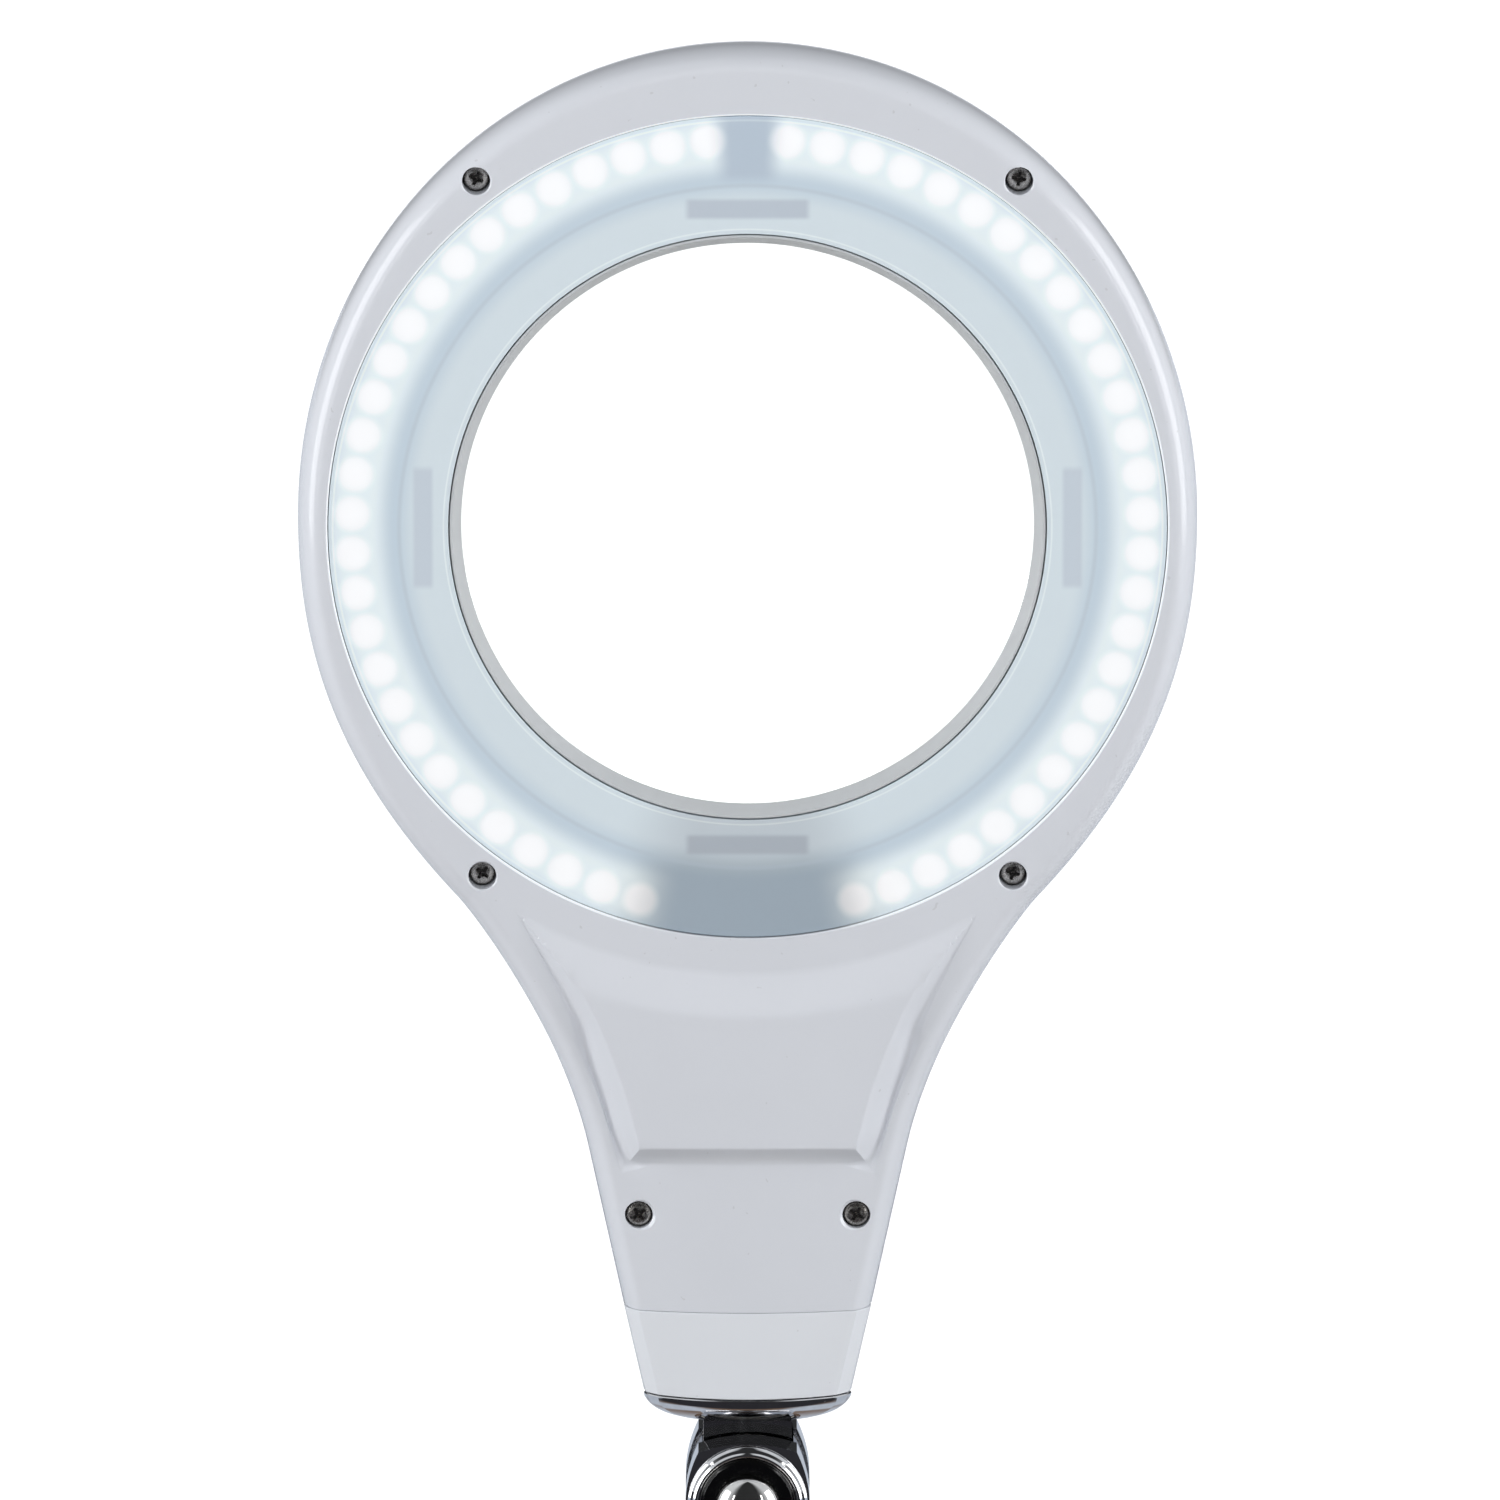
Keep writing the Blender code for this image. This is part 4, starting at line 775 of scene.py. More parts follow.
def make_neck_collar(mat):
    top = SHELL_END_Z - 0.5 * GAP
    edge = 0.0002
    sections = [(top, neck_section(top, edge)), (top - edge, neck_section(top, 0.0)),
                (COLLAR_END_Z + edge, collar_end(1.0, 1.0)), (COLLAR_END_Z, collar_end(1.0, 1.0, edge))]
    collar = lofted("neck_end_collar", sections, LENS)
    spigot_inset = WALL + 0.0018
    spigot_top = SHELL_END_Z + 0.0055
    fuse(collar, lofted("spigot", [(top - 0.003, neck_section(top, spigot_inset)),
                                   (spigot_top, neck_section(spigot_top, spigot_inset))], LENS))
    floor_z = COLLAR_END_Z + 0.0060
    inset = spigot_inset + 0.0014
    carve(collar, lofted("well", [(floor_z, neck_section(floor_z, inset)),
                                  (spigot_top + 0.001, neck_section(spigot_top, inset))], LENS))
    carve(collar, rod("bore", SPINDLE_R + 0.0005, COLLAR_END_Z - 0.01, floor_z + 0.01, LENS, MEDIUM, "Z"))
    return piece(collar, "neck_collar", "head", mat)


# ---------------------------------------------------------------- light and lens

def make_led_cover(mat):
    back = COVER_FRONT_Y + COVER_THICK
    skirt_r = COVER_IN_R + 0.0014
    skirt_y = -0.0108
    profile = [(COVER_IN_R, COVER_FRONT_Y), (COVER_OUT_R, COVER_FRONT_Y), (COVER_OUT_R, back),
               (skirt_r, back), (skirt_r, skirt_y), (COVER_IN_R, skirt_y)]
    cover = turned("light_cover", rounded(profile, 0.00015), LENS, ROUND)
    return piece(cover, "led_cover", "head", mat)


def lens_sag(radius):
    return LENS_SURFACE_R - math.sqrt(LENS_SURFACE_R ** 2 - radius ** 2)


def make_lens(mat):
    steps = 24
    front = []
    for i in range(steps + 1):
        r = LENS_R * i / steps
        front.append((r, LENS_MID_Y - (LENS_EDGE / 2.0 + lens_sag(LENS_R) - lens_sag(r))))
    back = [(r, 2.0 * LENS_MID_Y - y) for r, y in reversed(front)]
    lens = turned("magnifier_lens", front + back, LENS, ROUND)
    return piece(lens, "lens", "head", mat)


def make_seat_ring(mat):
    """Funnel in front of the lens, with a flange round its foot and a skirt round the lens."""
    lip_y = -0.0143
    lip_r = COVER_IN_R - GAP
    flange_y = -0.0105
    shoulder_y = -0.0033
    bore = LENS_R + 0.0004
    outer = 0.0654
    skirt_y = -0.0004
    profile = [(LENS_VIEW_R, -0.0103), (lip_r - 0.0005, lip_y), (lip_r, lip_y), (lip_r, flange_y),
               (outer, flange_y), (outer, skirt_y), (bore, skirt_y), (bore, shoulder_y),
               (0.0617, shoulder_y), (LENS_VIEW_R + 0.0001, -0.0097)]
    ring = turned("lens_lip", rounded(profile, 0.0002), LENS, ROUND)
    return piece(ring, "lens_seat_ring", "head", mat)


def make_screw(spot_name, mat):
    x, z = SCREW_SPOTS[spot_name]
    rim = SCREW_HEAD_Y
    dome = rim - 0.0007
    profile = [(0.0, dome)]
    steps = 8
    for i in range(1, steps + 1):
        t = i / steps
        profile.append((0.00235 * t, dome + 0.0004 * t * t))
    profile += [(0.00262, rim - 0.00012), (SCREW_HEAD_R, rim + 0.00012), (SCREW_HEAD_R, rim + 0.0014),
                (0.0014, rim + 0.0014), (0.0014, SCREW_TIP_Y - 0.0015), (0.0, SCREW_TIP_Y)]
    place = LENS + Vector((x, 0.0, z))
    screw = turned("screw_" + spot_name, profile, place, SMALL)
    arm = 0.00155
    half = 0.00036
    for x, z in ((arm, half), (half, arm)):
        carve(screw, box("slot", (-x, dome - 0.001, -z), (x, dome + 0.0009, z), place))
    cone = turned("cone", [(0.0, dome - 0.001), (0.00085, dome - 0.001), (0.00085, dome + 0.0002),
                           (0.0, dome + 0.0013)], place, SMALL)
    carve(screw, cone)
    screw.data.transform(Matrix.Rotation(math.radians(SCREW_TURN_DEG[spot_name]), 4, "Y"))
    return piece(screw, "casing_screw_" + spot_name, "head", mat)


# ---------------------------------------------------------------- knuckle

def make_swivel_cap(mat):
    top = COLLAR_END_Z - GAP
    bottom = PIVOT.z + CAP_BOTTOM - LENS.z
    edge = 0.0002
    rim = 0.0005
    front_wall = 0.0017           # height over which the front and the back stay upright
    sections = [(top, collar_end(1.0, 1.0, edge)), (top - edge, collar_end(1.0, 1.0))]
    steps = 20
    for i in range(steps + 1):
        angle = 0.5 * math.pi * i / steps
        z = top - rim - (top - rim - bottom) * math.sin(angle)
        fall = max(0.0, top - front_wall - z) / (top - front_wall - bottom)
        scale_x = 1.0 - (1.0 - CAP_WAIST) * (1.0 - math.cos(angle)) ** 0.8
        scale_y = 1.0 - (1.0 - CAP_WAIST) * fall ** 1.5
        sections.append((z, collar_end(scale_x, scale_y)))
    cap = lofted("swivel_dish", sections, LENS)
    carve(cap, rod("bore", SPINDLE_R + 0.0005, bottom - 0.01, top + 0.01, LENS, MEDIUM, "Z"))
    return piece(cap, "swivel_cap", "head", mat)


def make_swivel_tongue(mat):
    shoulder = CAP_BOTTOM - GAP
    join_deg = math.degrees(math.acos(TONGUE_HALF_X / EYE_R))
    profile = arc((0.0, 0.0), EYE_R, join_deg, -180.0 - join_deg, 72)
    profile += [(-TONGUE_HALF_X, shoulder), (TONGUE_HALF_X, shoulder)]
    tongue = prism("swivel_post", profile, -TONGUE_HALF_Y, TONGUE_HALF_Y, PIVOT)
    soften(tongue, 0.0007)
    spindle_top = LENS.z + SPINDLE_TOP_Z - PIVOT.z
    fuse(tongue, rod("spindle", SPINDLE_R, shoulder - 0.003, spindle_top, PIVOT, axis="Z"))
    carve(tongue, rod("eye", BOLT_R + GAP, -0.02, 0.02, PIVOT))
    return piece(tongue, "swivel_tongue", "tongue", mat)


def cheek_outline():
    corner_x, corner_z = CHEEK_CORNER
    bottom_z = BUSH_FLANGE_THICK + GAP - PIVOT.z
    shoulder_x = BUSH_FLANGE_R - 0.0004
    right = [(shoulder_x, bottom_z), (shoulder_x, bottom_z + 0.0050)]
    waist_z = bottom_z + 0.0080
    steps = 32
    for i in range(steps + 1):
        z = waist_z + (corner_z - waist_z) * i / steps
        bow = (z / corner_z) ** 2 if z > 0.0 else (z / waist_z) ** 2 * 0.5
        right.append((CHEEK_HALF_X - (CHEEK_HALF_X - corner_x) * bow, z))
    top = []
    top_steps = 28
    for i in range(1, top_steps):
        x = corner_x * (1.0 - 2.0 * i / top_steps)
        top.append((x, CHEEK_TOP - (CHEEK_TOP - corner_z) * (x / corner_x) ** 2))
    return right + top + [(-x, z) for x, z in reversed(right)]


def make_clevis(mat):
    half_y = CHEEK_FACE_Y
    clevis = prism("knuckle_fork", cheek_outline(), -half_y, half_y, PIVOT)
    slot_half = half_y - CHEEK_THICK
    carve(clevis, box("slot", (-0.03, -slot_half, SLOT_FLOOR), (0.03, slot_half, 0.03), PIVOT))
    bottom = BUSH_FLANGE_THICK + GAP - PIVOT.z
    shoulder = bottom + 0.0050
    round_off = [(BUSH_FLANGE_R, bottom - 0.001), (0.03, bottom - 0.001), (0.03, shoulder + 0.004),
                 (0.0172, shoulder + 0.004), (BUSH_FLANGE_R, shoulder)]
    carve(clevis, turned("round_off", round_off, PIVOT, axis="Z"))
    soften(clevis, 0.0022, 6, 50.0)
    carve(clevis, rod("bolt_hole", BOLT_R + GAP, -0.03, 0.03, PIVOT))
    pin_top = PIN_TOP + GAP - PIVOT.z
    carve(clevis, rod("pin_hole", PIN_R + GAP, bottom - 0.01, pin_top, PIVOT, axis="Z"))
    return piece(clevis, "clevis", "knuckle", mat)


def make_boss_ring(mat):
    back = -CHEEK_FACE_Y - GAP
    front = back - 0.0020
    inner = BOSS_DISC_R + GAP
    profile = [(inner, back), (inner, front), (inner + 0.0006, front - 0.0001),
               (inner + 0.0010, front + 0.0004), (BOSS_RING_R - 0.0005, front + 0.0007),
               (BOSS_RING_R, front + 0.0012), (BOSS_RING_R, back)]
    ring = turned("boss_trim_ring", rounded(profile, 0.0003), PIVOT)
    return piece(ring, "boss_ring", "knuckle", mat)


def make_boss_disc(mat):
    back = -CHEEK_FACE_Y - GAP
    front = back - 0.0014
    inner = BOLT_R + GAP
    profile = [(inner, back), (inner, front), (BOSS_DISC_R - 0.0009, front),
               (BOSS_DISC_R - 0.0004, front + 0.0003), (BOSS_DISC_R, front), (BOSS_DISC_R, back)]
    disc = turned("boss_face_disc", rounded(profile, 0.0002), PIVOT)
    return piece(disc, "boss_disc", "knuckle", mat)


def make_cap_nut(mat):
    back = -CHEEK_FACE_Y - 2.0 * GAP - 0.0014
    profile = [(BOLT_R + GAP, back), (BOLT_R + GAP, back - 0.0030), (0.0, back - 0.0030)]
    steps = 18
    for i in range(steps + 1):
        angle = 0.5 * math.pi * i / steps
        profile.append((CAP_NUT_R * math.sin(angle),
                        back - 0.0014 - (CAP_NUT_HEIGHT - 0.0014) * math.cos(angle)))
    profile += [(CAP_NUT_R, back - 0.0002), (CAP_NUT_R - 0.0002, back)]
    nut = turned("domed_nut", profile, PIVOT)
    return piece(nut, "cap_nut", "knuckle", mat)


def make_tension_knob(mat):
    near = CHEEK_FACE_Y + GAP
    end = near + KNOB_DEPTH
    steps = KNOB_LOBES * 24
    points = []
    for i in range(steps):
        angle = 2.0 * math.pi * i / steps
        radius = KNOB_R - KNOB_HOLLOW * (1.0 - math.cos(KNOB_LOBES * angle))
        points.append((radius * math.cos(angle), radius * math.sin(angle)))
    grip = prism("hand_knob", points, near + 0.0038, end, PIVOT)
    soften(grip, 0.0014, 5, 50.0)
    hub_r = KNOB_R - 2.0 * KNOB_HOLLOW - 0.0012
    fuse(grip, rod("hub", hub_r, near, near + 0.0060, PIVOT, MEDIUM))
    dish = [(0.0, end - 0.0008), (0.0060, end - 0.0008), (0.0066, end + 0.002), (0.0, end + 0.002)]
    carve(grip, turned("dish", dish, PIVOT))
    carve(grip, rod("thread", BOLT_R + GAP, near - 0.01, end - 0.0024, PIVOT))
    return piece(grip, "tension_knob", "knob", mat)


# ---------------------------------------------------------------- switch and inlet

def make_switch_body(mat):
    place = LENS + Vector((0.0, 0.0, SWITCH_Z))
    flange_y = BACK_Y + GAP
    flange_top = flange_y + 0.0016
    flange = box("switch_frame", (-SWITCH_HALF_X, flange_y, -SWITCH_HALF_Z),
                 (SWITCH_HALF_X, flange_top, SWITCH_HALF_Z), place)
    soften(flange, 0.0005, 4, 50.0)
    x = SWITCH_HALF_X - 0.0011
    z = SWITCH_HALF_Z - 0.0011
    fuse(flange, box("body", (-x, 0.0060, -z), (x, flange_y + 0.0008, z), place))
    x = SWITCH_HALF_X - 0.0021
    z = SWITCH_HALF_Z - 0.0018
    carve(flange, box("pocket", (-x, 0.0090, -z), (x, flange_top + 0.01, z), place))
    return piece(flange, "switch_body", "head", mat)


def make_rocker(mat):
    half_x = SWITCH_HALF_X - 0.0025
    top = 0.0040
    half_top = 0.0078
    half_foot = 0.0066
    side = [(-0.0016, -half_foot), (-0.0016, half_foot)]
    steps = 20
    for i in range(steps + 1):
        t = 1.0 - 2.0 * i / steps
        side.append((top - 0.0012 * (1.0 - t * t), half_top * t))
    place = LENS + Vector((0.0, SWITCH_PIVOT_Y, SWITCH_Z))
    rocker = prism("rocker_button", side, -half_x, half_x, place, "X")
    soften(rocker, 0.0004, 3, 50.0)
    rocker.data.transform(Matrix.Rotation(math.radians(ROCKER_TILT_DEG), 4, "X"))
    return piece(rocker, "switch_rocker", "rocker", mat)


def make_grommet(mat):
    bore = 0.0026
    neck_r = INLET_HOLE_R - GAP
    wall_in = BACK_Y - WALL
    profile = [(bore, wall_in - 0.0014), (0.0052, wall_in - 0.0012), (0.0052, wall_in - GAP),
               (neck_r, wall_in - GAP), (neck_r, BACK_Y + GAP), (0.0056, BACK_Y + GAP),
               (0.0056, BACK_Y + 0.0018), (0.0044, BACK_Y + 0.0030), (bore, BACK_Y + 0.0030)]
    place = LENS + Vector((0.0, 0.0, INLET_Z))
    grommet = turned("cable_gland", rounded(profile, 0.0003, 3), place, SMALL)
    return piece(grommet, "cable_grommet", "head", mat)


# ---------------------------------------------------------------- materials

class Graph:
    """Small helper that builds the nodes of a material or of the world."""

    def __init__(self, tree):
        self.tree = tree

    def put(self, socket, value):
        if isinstance(value, bpy.types.NodeSocket):
            self.tree.links.new(value, socket)
        elif isinstance(value, tuple) and len(value) == 3 and len(socket.default_value) == 4:
            socket.default_value = (*value, 1.0)
        else:
            socket.default_value = value

    def node(self, kind, **values):
        """Adds a node and fills its inputs by name, with an underscore for a space."""
        node = self.tree.nodes.new("ShaderNode" + kind)
        for name, value in values.items():
            self.put(node.inputs[name.replace("_", " ")], value)
        return node

    def math(self, operation, a, b=0.0):
        node = self.node("Math")
        node.operation = operation
        self.put(node.inputs[0], a)
        self.put(node.inputs[1], b)
        return node.outputs[0]

    def product(self, first, *others):
        for other in others:
            first = self.math("MULTIPLY", first, other)
        return first

    def size(self, a, b):
        """Length of the vector (a, b)."""
        return self.math("SQRT", self.math("ADD", self.product(a, a), self.product(b, b)))

    def span(self, value, low, high, to_low=0.0, to_high=1.0, smooth=True):
        node = self.node("MapRange", Value=value, From_Min=low, From_Max=high, To_Min=to_low, To_Max=to_high)
        node.interpolation_type = "SMOOTHSTEP" if smooth else "LINEAR"
        return node.outputs["Result"]

    def near(self, value, centre, low, high):
        """1 where the value lies within `low` of the centre, and 0 past `high` from it."""
        return self.span(self.math("ABSOLUTE", self.math("SUBTRACT", value, centre)), low, high, 1.0, 0.0)

    def mix(self, share, a, b):
        node = self.node("Mix")
        node.data_type = "RGBA"
        for number, value in ((0, share), (6, a), (7, b)):
            self.put(node.inputs[number], value)
        return node.outputs[2]

    def axes(self, vector):
        return self.node("SeparateXYZ", Vector=vector).outputs

    def turn_deg(self, x, y):
        """Angle of (x, y) from the second axis, in degrees, the same on both sides of it."""
        return self.math("DEGREES", self.math("ARCTAN2", self.math("ABSOLUTE", x), y))


class Finish(Graph):
    """A material of one Principled shader."""

    def __init__(self, name):
        self.mat = bpy.data.materials.new(name)
        self.mat.use_nodes = True
        super().__init__(self.mat.node_tree)
        self.shader = self.tree.nodes["Principled BSDF"]
        self.coords = self.node("TexCoord").outputs["Object"]

    def set(self, **values):
        for name, value in values.items():
            self.put(self.shader.inputs[name.replace("_", " ")], value)

    def noise(self, scale, detail=2.0, rough=0.5):
        node = self.node("TexNoise", Vector=self.coords, Scale=scale, Detail=detail, Roughness=rough)
        return node.outputs["Fac"]

    def bump(self, height, strength, distance):
        self.set(Normal=self.node("Bump", Height=height, Strength=strength, Distance=distance).outputs[0])


def moulded_plastic(name, colour, rough, painted_window_highlight=False):
    """Glossy white plastic with faint specks; the last flag adds a painted highlight: a thin emitting line on
    the window's edge, standing in for its rim catching light.
    """
    g = Finish(name)
    cloud = g.span(g.noise(38.0, 3.0), 0.3, 0.7)
    paint = g.mix(cloud, tuple(c * 0.99 for c in colour), colour)
    dot = g.span(g.noise(900.0, 0.0), 0.855, 0.88)
    paint = g.mix(g.product(dot, 0.22), paint, (0.40, 0.40, 0.40))
    if painted_window_highlight:
        # Painted highlight: emission on the window's rounded edge near the face, off towards the bottom.
        x, y, z = g.axes(g.coords)
        line = g.near(g.size(x, z), WINDOW_R, 0.0002, 0.0005)
        front = g.span(y, FACE_Y + 0.0004, FACE_Y + 0.0012, 1.0, 0.0)
        lit = g.span(g.turn_deg(x, z), 158.0, 170.0, 1.0, 0.0)
        g.set(Emission_Color=(0.93, 1.0, 1.0), Emission_Strength=g.product(line, front, lit, 0.32))
    g.set(Base_Color=paint, Roughness=g.span(g.noise(700.0, 3.0), 0.3, 0.7, rough - 0.01, rough + 0.01))
    g.bump(g.noise(2600.0), 0.08, 0.00005)
    return g.mat


def chrome(name, colour, rough, specks=0.5):
    g = Finish(name)
    haze = g.noise(420.0, 4.0, 0.6)
    dot = g.span(g.noise(2600.0, 1.0), 0.74, 0.80)
    smear = g.span(haze, 0.35, 0.75, rough * 0.6, rough * 1.5)
    g.set(Base_Color=g.mix(g.span(haze, 0.3, 0.7), tuple(c * 0.90 for c in colour), colour),
          Metallic=1.0, Roughness=g.math("ADD", smear, g.product(dot, specks, 0.3)))
    g.bump(g.noise(1500.0, 3.0), 0.08, 0.00003)
    return g.mat


def glowing_cover(name):
    """Frosted cover: white spots over the LEDs and their bluish halo, and the darker tabs; painted shade
    darkens the two gaps without LEDs and the bottom, and painted highlights line the outer and inner edges.
    """
    g = Finish(name)
    axes = g.axes(g.coords)
    side = g.math("ABSOLUTE", axes["X"])
    z = axes["Z"]
    radius = g.size(side, z)
    degrees = g.turn_deg(side, z)

    step = g.math("DIVIDE", g.math("SUBTRACT", degrees, LED_FIRST_DEG), LED_PITCH_DEG)
    nearest = g.math("MINIMUM", g.math("MAXIMUM", g.math("ROUND", step), 0.0), LED_COUNT - 1.0)
    off = g.product(g.math("SUBTRACT", step, nearest), math.radians(LED_PITCH_DEG) * LED_CIRCLE_R)
    far = g.size(off, g.math("SUBTRACT", radius, LED_CIRCLE_R))
    core = g.span(far, 0.0023, 0.0047, 1.0, 0.0)
    inside_rows = g.product(g.span(degrees, 2.2, 6.0), g.span(degrees, 160.5, 170.0, 1.0, 0.0))
    halo = g.product(g.span(radius, 0.0740, 0.0790), g.span(radius, 0.0848, 0.0880, 1.0, 0.60), inside_rows)

    # Painted shade: `top` and `low` make the cover's paints darker towards its bottom.
    top = g.span(z, -0.02, 0.02)
    low = g.span(degrees, 156.0, 172.0)
    clear_paint = g.mix(low, (0.80, 0.90, 0.96), (0.64, 0.71, 0.765))
    band_paint = g.mix(low, (0.67, 0.79, 0.89), (0.46, 0.54, 0.60))
    gap_paint = g.mix(top, (0.41, 0.49, 0.566), (0.58, 0.68, 0.79))
    # Painted shade: the top and bottom tabs are darker than the side ones, the bottom tab darkest.
    upright_paint = g.mix(top, (0.47, 0.52, 0.585), (0.58, 0.65, 0.74))
    tab_paint = g.mix(g.span(side, 0.03, 0.05), upright_paint, (0.66, 0.74, 0.83))
    base = g.mix(g.span(radius, 0.0690, 0.0742, 1.0, 0.0), band_paint, clear_paint)
    # Painted shade: the two gaps without LEDs get a darker paint, darkest at the bottom.
    gap = g.product(g.span(radius, 0.0725, 0.0760), g.math("SUBTRACT", 1.0, inside_rows))
    base = g.mix(gap, base, gap_paint)
    upright = g.math("ABSOLUTE", z)
    across = g.near(g.math("MINIMUM", side, upright), 0.0, TAB_HALF_LENGTH - 0.0009, TAB_HALF_LENGTH + 0.0009)
    along = g.near(g.math("MAXIMUM", side, upright), TAB_R, TAB_HALF_WIDTH - 0.0006, TAB_HALF_WIDTH + 0.0006)
    base = g.mix(g.product(across, along, 0.85), base, tab_paint)
    base = g.mix(g.product(g.near(radius, 0.0730, 0.0, 0.0008), 0.35), base, (0.55, 0.63, 0.71))

    # Painted highlights: emitting lines along the cover's outer edge, off at the bottom, and along its inner
    # edge.
    rim = g.product(g.near(radius, 0.0869, 0.0, 0.0004), g.span(z, -0.085, -0.06))
    light = g.product(halo, 0.24)
    for glow, strength in ((core, 0.19), (rim, 0.12), (g.near(radius, 0.0637, 0.0, 0.0003), 0.12)):
        light = g.math("ADD", light, g.product(glow, strength))
    g.set(Base_Color=base, Roughness=g.span(g.noise(300.0, 3.0), 0.3, 0.7, 0.16, 0.24),
          Emission_Color=g.mix(core, (1.0, 0.94, 0.74), (1.0, 0.80, 0.66)), Emission_Strength=light)
    g.bump(g.noise(1800.0), 0.05, 0.00004)
    return g.mat


def lens_glass(name):
    g = Finish(name)
    g.set(Base_Color=(0.985, 1.0, 0.995), Transmission_Weight=1.0, IOR=1.45,
          Roughness=g.span(g.noise(60.0, 3.0), 0.55, 0.9, 0.0, 0.02))
    return g.mat


def satin(name, colour, rough, grain=1800.0, depth=0.00008, contrast=0.88):
    g = Finish(name)
    cloud = g.span(g.noise(240.0, 4.0), 0.3, 0.7)
    g.set(Base_Color=g.mix(cloud, tuple(c * contrast for c in colour), colour),
          Roughness=g.span(g.noise(500.0, 3.0), 0.3, 0.7, rough - 0.05, rough + 0.05))
    g.bump(g.noise(grain, 3.0), 0.25, depth)
    return g.mat


def screw_steel(name):
    """Plated screw head, with painted shade in its recess and towards its rim."""
    g = Finish(name)
    x, y, z = g.axes(g.coords)
    edge = g.span(g.size(x, z), 0.0021, SCREW_HEAD_R)
    deep = g.span(y, SCREW_HEAD_Y - 0.0006, SCREW_HEAD_Y - 0.0001)
    grain = g.span(g.noise(1900.0, 3.0), 0.3, 0.7)
    colour = g.mix(grain, (0.66, 0.62, 0.57), (0.97, 0.94, 0.89))
    # Painted shade: `edge` darkens the head towards its rim and `deep` darkens its cross recess.
    colour = g.mix(edge, colour, (0.10, 0.095, 0.09))
    colour = g.mix(g.product(deep, 0.7), colour, (0.05, 0.045, 0.04))
    g.set(Base_Color=colour, Metallic=1.0, Roughness=g.span(grain, 0.0, 1.0, 0.20, 0.34, False))
    g.bump(g.noise(5000.0), 0.3, 0.00003)
    return g.mat


# ---------------------------------------------------------------- scene

def camera():
    data = bpy.data.cameras.new("camera")
    data.sensor_width = 36.0
    data.lens = 686.6
    data.clip_end = 20.0
    cam = link(bpy.data.objects.new("camera", data))
    aim = Vector((0.0005, FACE_Y, LENS.z - 0.0475))
    pitch = math.radians(12.3)
    distance = 6.0
    cam.location = aim + Vector((0.0, -math.cos(pitch), math.sin(pitch))) * distance
    cam.rotation_euler = (math.pi / 2.0 - pitch, 0.0, 0.0)
    bpy.context.scene.camera = cam


def softbox(name, place, size, power, aim):
    data = bpy.data.lights.new(name, "AREA")
    data.shape = "RECTANGLE"
    data.size, data.size_y = size
    data.energy = power
    lamp = link(bpy.data.objects.new(name, data))
    lamp.location = place
    lamp.rotation_euler = (Vector(aim) - Vector(place)).to_track_quat("-Z", "Y").to_euler()
    return lamp


def ray_split(g, seen, mirrored, other):
    """The camera, and rays through clear glass, get `seen`; reflections get `mirrored`, the rest `other`."""
    path = g.node("LightPath").outputs
    through = g.math("MINIMUM", path["Transmission Depth"], 1.0)
    direct = g.math("MAXIMUM", path["Is Camera Ray"], through)
    shader = other
    for share, chosen in ((path["Is Glossy Ray"], mirrored), (direct, seen)):
        node = g.node("MixShader")
        for socket, value in zip(node.inputs, (share, shader, chosen)):
            g.put(socket, value)
        shader = node.outputs[0]
    return shader


def sideways(g, vector, dark, light, low_deg, high_deg):
    """Value that rises as a direction turns from the front or the back to the sides."""
    axes = g.axes(vector)
    turn = g.turn_deg(axes["X"], g.math("ABSOLUTE", axes["Y"]))
    return g.span(turn, low_deg, high_deg, dark, light)


def studio_world():
    """White to the camera, dim light all round, and bright panels at the sides in reflections."""
    world = bpy.data.worlds.new("studio")
    world.use_nodes = True
    g = Graph(world.node_tree)
    g.tree.nodes.clear()
    cool = (0.93, 0.96, 1.0)
    white = g.node("Background", Strength=SEEN_WHITE).outputs[0]
    dim = g.node("Background", Color=cool, Strength=0.18).outputs[0]
    direction = g.node("TexCoord").outputs["Generated"]
    panels = g.node("Background", Color=cool, Strength=sideways(g, direction, 0.035, 0.75, 28.0, 62.0))
    g.node("OutputWorld", Surface=ray_split(g, white, panels.outputs[0], dim))
    return world


def floor_material():
    """White to the camera; in reflections dark ahead, brown below, and pale at the sides and behind."""
    mat = bpy.data.materials.new("floor")
    mat.use_nodes = True
    g = Graph(mat.node_tree)
    g.tree.nodes.clear()
    white = g.node("Emission", Strength=SEEN_WHITE).outputs[0]
    paper = g.node("BsdfDiffuse", Color=(0.55, 0.54, 0.53)).outputs[0]
    spot = g.node("NewGeometry").outputs["Position"]
    length = g.node("VectorMath")
    length.operation = "LENGTH"
    g.put(length.inputs[0], spot)
    y = g.axes(spot)["Y"]
    pale = (0.52, 0.57, 0.65)
    middle_paint = g.mix(g.span(y, -0.27, -0.10), (0.03, 0.03, 0.035), (0.20, 0.14, 0.105))
    close = g.mix(sideways(g, spot, 0.0, 1.0, 25.0, 50.0), middle_paint, pale)
    distant = g.mix(sideways(g, spot, 0.0, 1.0, 52.0, 74.0), middle_paint, pale)
    paint = g.mix(g.span(length.outputs["Value"], 0.22, 0.34), close, distant)
    paint = g.mix(g.span(y, 0.05, 0.30), paint, pale)
    mirrored = g.node("Emission", Color=paint).outputs[0]
    g.node("OutputMaterial", Surface=ray_split(g, white, mirrored, paper))
    return mat


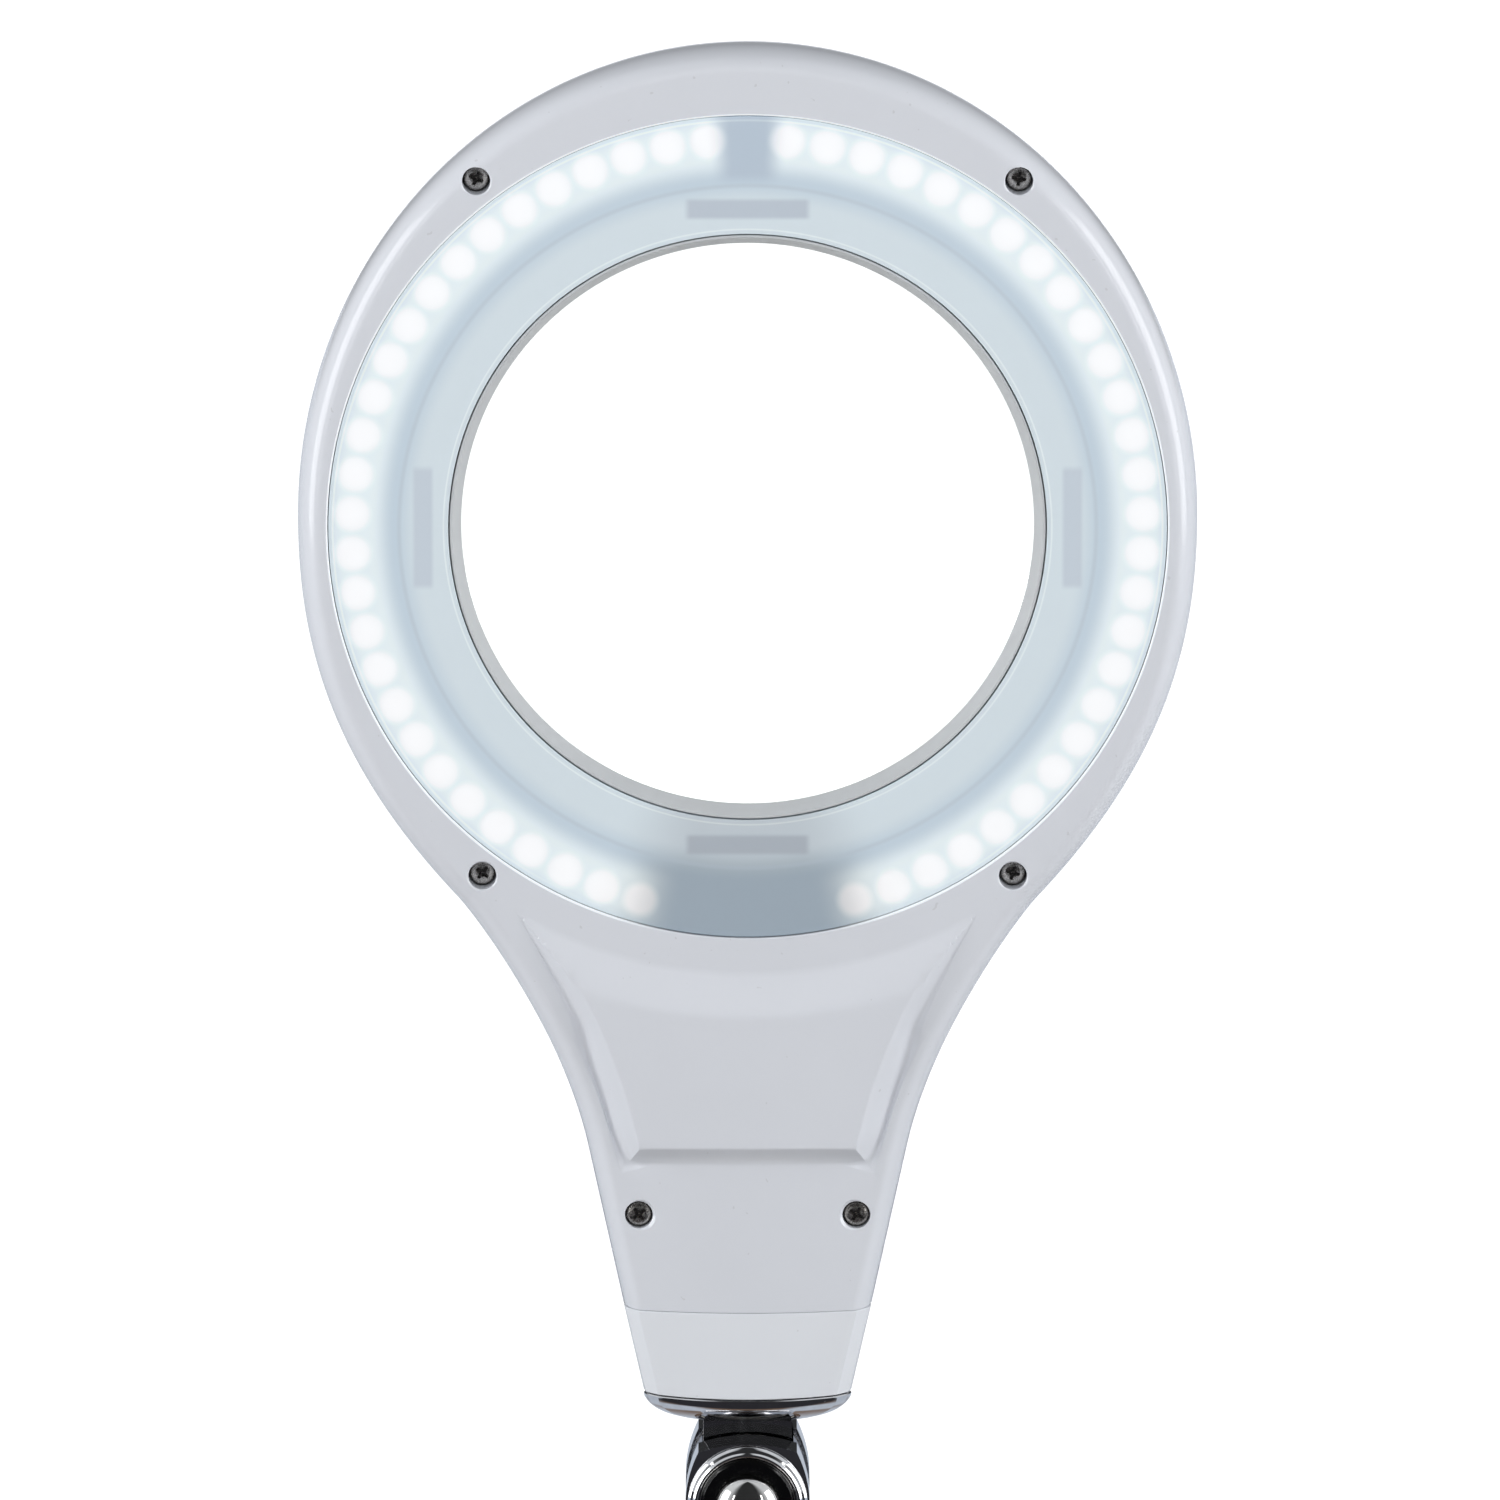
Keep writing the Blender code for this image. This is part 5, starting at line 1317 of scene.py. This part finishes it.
def studio():
    scene = bpy.context.scene
    scene.view_settings.view_transform = "Standard"
    scene.world = studio_world()
    bm = bmesh.new()
    half = 6.0
    z = CAD_BOUNDS[0][2] - FLOOR_DROP
    bm.faces.new([bm.verts.new((sx * half, sy * half, z)) for sx, sy in ((-1, -1), (1, -1), (1, 1), (-1, 1))])
    floor = to_object("floor", bm, (0.0, 0.0, 0.0))
    floor.data.materials.append(floor_material())

    aim = (0.0, 0.0, 0.2)
    key = softbox("key", (0.0, -1.80, 1.40), (1.4, 0.9), 15.2, (0.0, 0.0, 0.15))
    key.visible_glossy = False
    for side in (-1.0, 1.0):
        softbox("side", (side * 1.5, -0.35, 0.45), (1.0, 1.3), 14.2, aim)
        softbox("strip", (side * 1.0, -1.3, 0.40), (0.08, 0.9), 1.3, aim)


def dress_cad_nodes():
    """Finishes for the inner pieces that keep their CAD shape."""
    board = satin("led_board", (0.86, 0.88, 0.88), 0.4)
    lead = satin("lead_sleeve", (0.55, 0.04, 0.03), 0.5)
    nylon = satin("nylon", (0.80, 0.78, 0.70), 0.5)
    plated = chrome("plated_steel", (0.62, 0.60, 0.57), 0.28)
    finishes = {
        "reflector_ring": satin("reflector_paint", (0.80, 0.84, 0.86), 0.45),
        "driver_board": satin("board_green", (0.05, 0.20, 0.09), 0.45),
        "led_board_left": board,
        "led_board_right": board,
        "led_lead_left": lead,
        "led_lead_right": lead,
        "spindle_washer": nylon,
        "friction_washer_front": nylon,
        "friction_washer_rear": nylon,
        "spindle_nut": plated,
        "clamp_bolt": plated,
        "pin_clip": chrome("blued_steel", (0.30, 0.30, 0.31), 0.30),
        "arm_pin": chrome("ground_steel", (0.62, 0.61, 0.60), 0.20),
        "arm_bush": satin("bush_nylon", (0.045, 0.045, 0.047), 0.5),
    }
    for node, mat in finishes.items():
        for material_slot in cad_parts[node].material_slots:
            material_slot.link = "OBJECT"
            material_slot.material = mat


def main():
    camera()
    studio()
    dress_cad_nodes()

    white = (0.785, 0.81, 0.865)
    make_front_bezel(moulded_plastic("front_white", white, 0.14, True))
    make_back_shell(moulded_plastic("back_white", white, 0.14))
    # Painted light: the collar's white is a lighter copy of the casing white.
    make_neck_collar(moulded_plastic("collar_white", (0.87, 0.90, 0.95), 0.14))
    make_led_cover(glowing_cover("cover_glow"))
    make_lens(lens_glass("lens_glass"))
    make_seat_ring(satin("seat_grey", (0.62, 0.645, 0.665), 0.40, contrast=0.97))
    steel = screw_steel("screw_steel")
    for spot_name in SCREW_SPOTS:
        make_screw(spot_name, steel)

    bright = chrome("chrome_bright", (0.78, 0.78, 0.79), 0.06)
    make_swivel_cap(bright)
    # Painted shade: the tongue's chrome is a darker copy of the bright chrome, where it sits between the dish
    # and the cheeks.
    make_swivel_tongue(chrome("chrome_dark", (0.60, 0.60, 0.62), 0.07))
    make_clevis(bright)
    make_boss_ring(bright)
    make_boss_disc(chrome("disc_dark", (0.10, 0.10, 0.10), 0.16, 0.9))
    make_cap_nut(chrome("nut_bright", (0.80, 0.79, 0.77), 0.08))
    make_tension_knob(satin("knob_black", (0.030, 0.030, 0.032), 0.45, 1200.0, 0.00012))
    make_switch_body(satin("switch_black", (0.028, 0.028, 0.030), 0.40))
    make_rocker(satin("rocker_black", (0.022, 0.022, 0.024), 0.28, 2600.0, 0.00003))
    make_grommet(satin("grommet_rubber", (0.030, 0.030, 0.030), 0.65))


main()
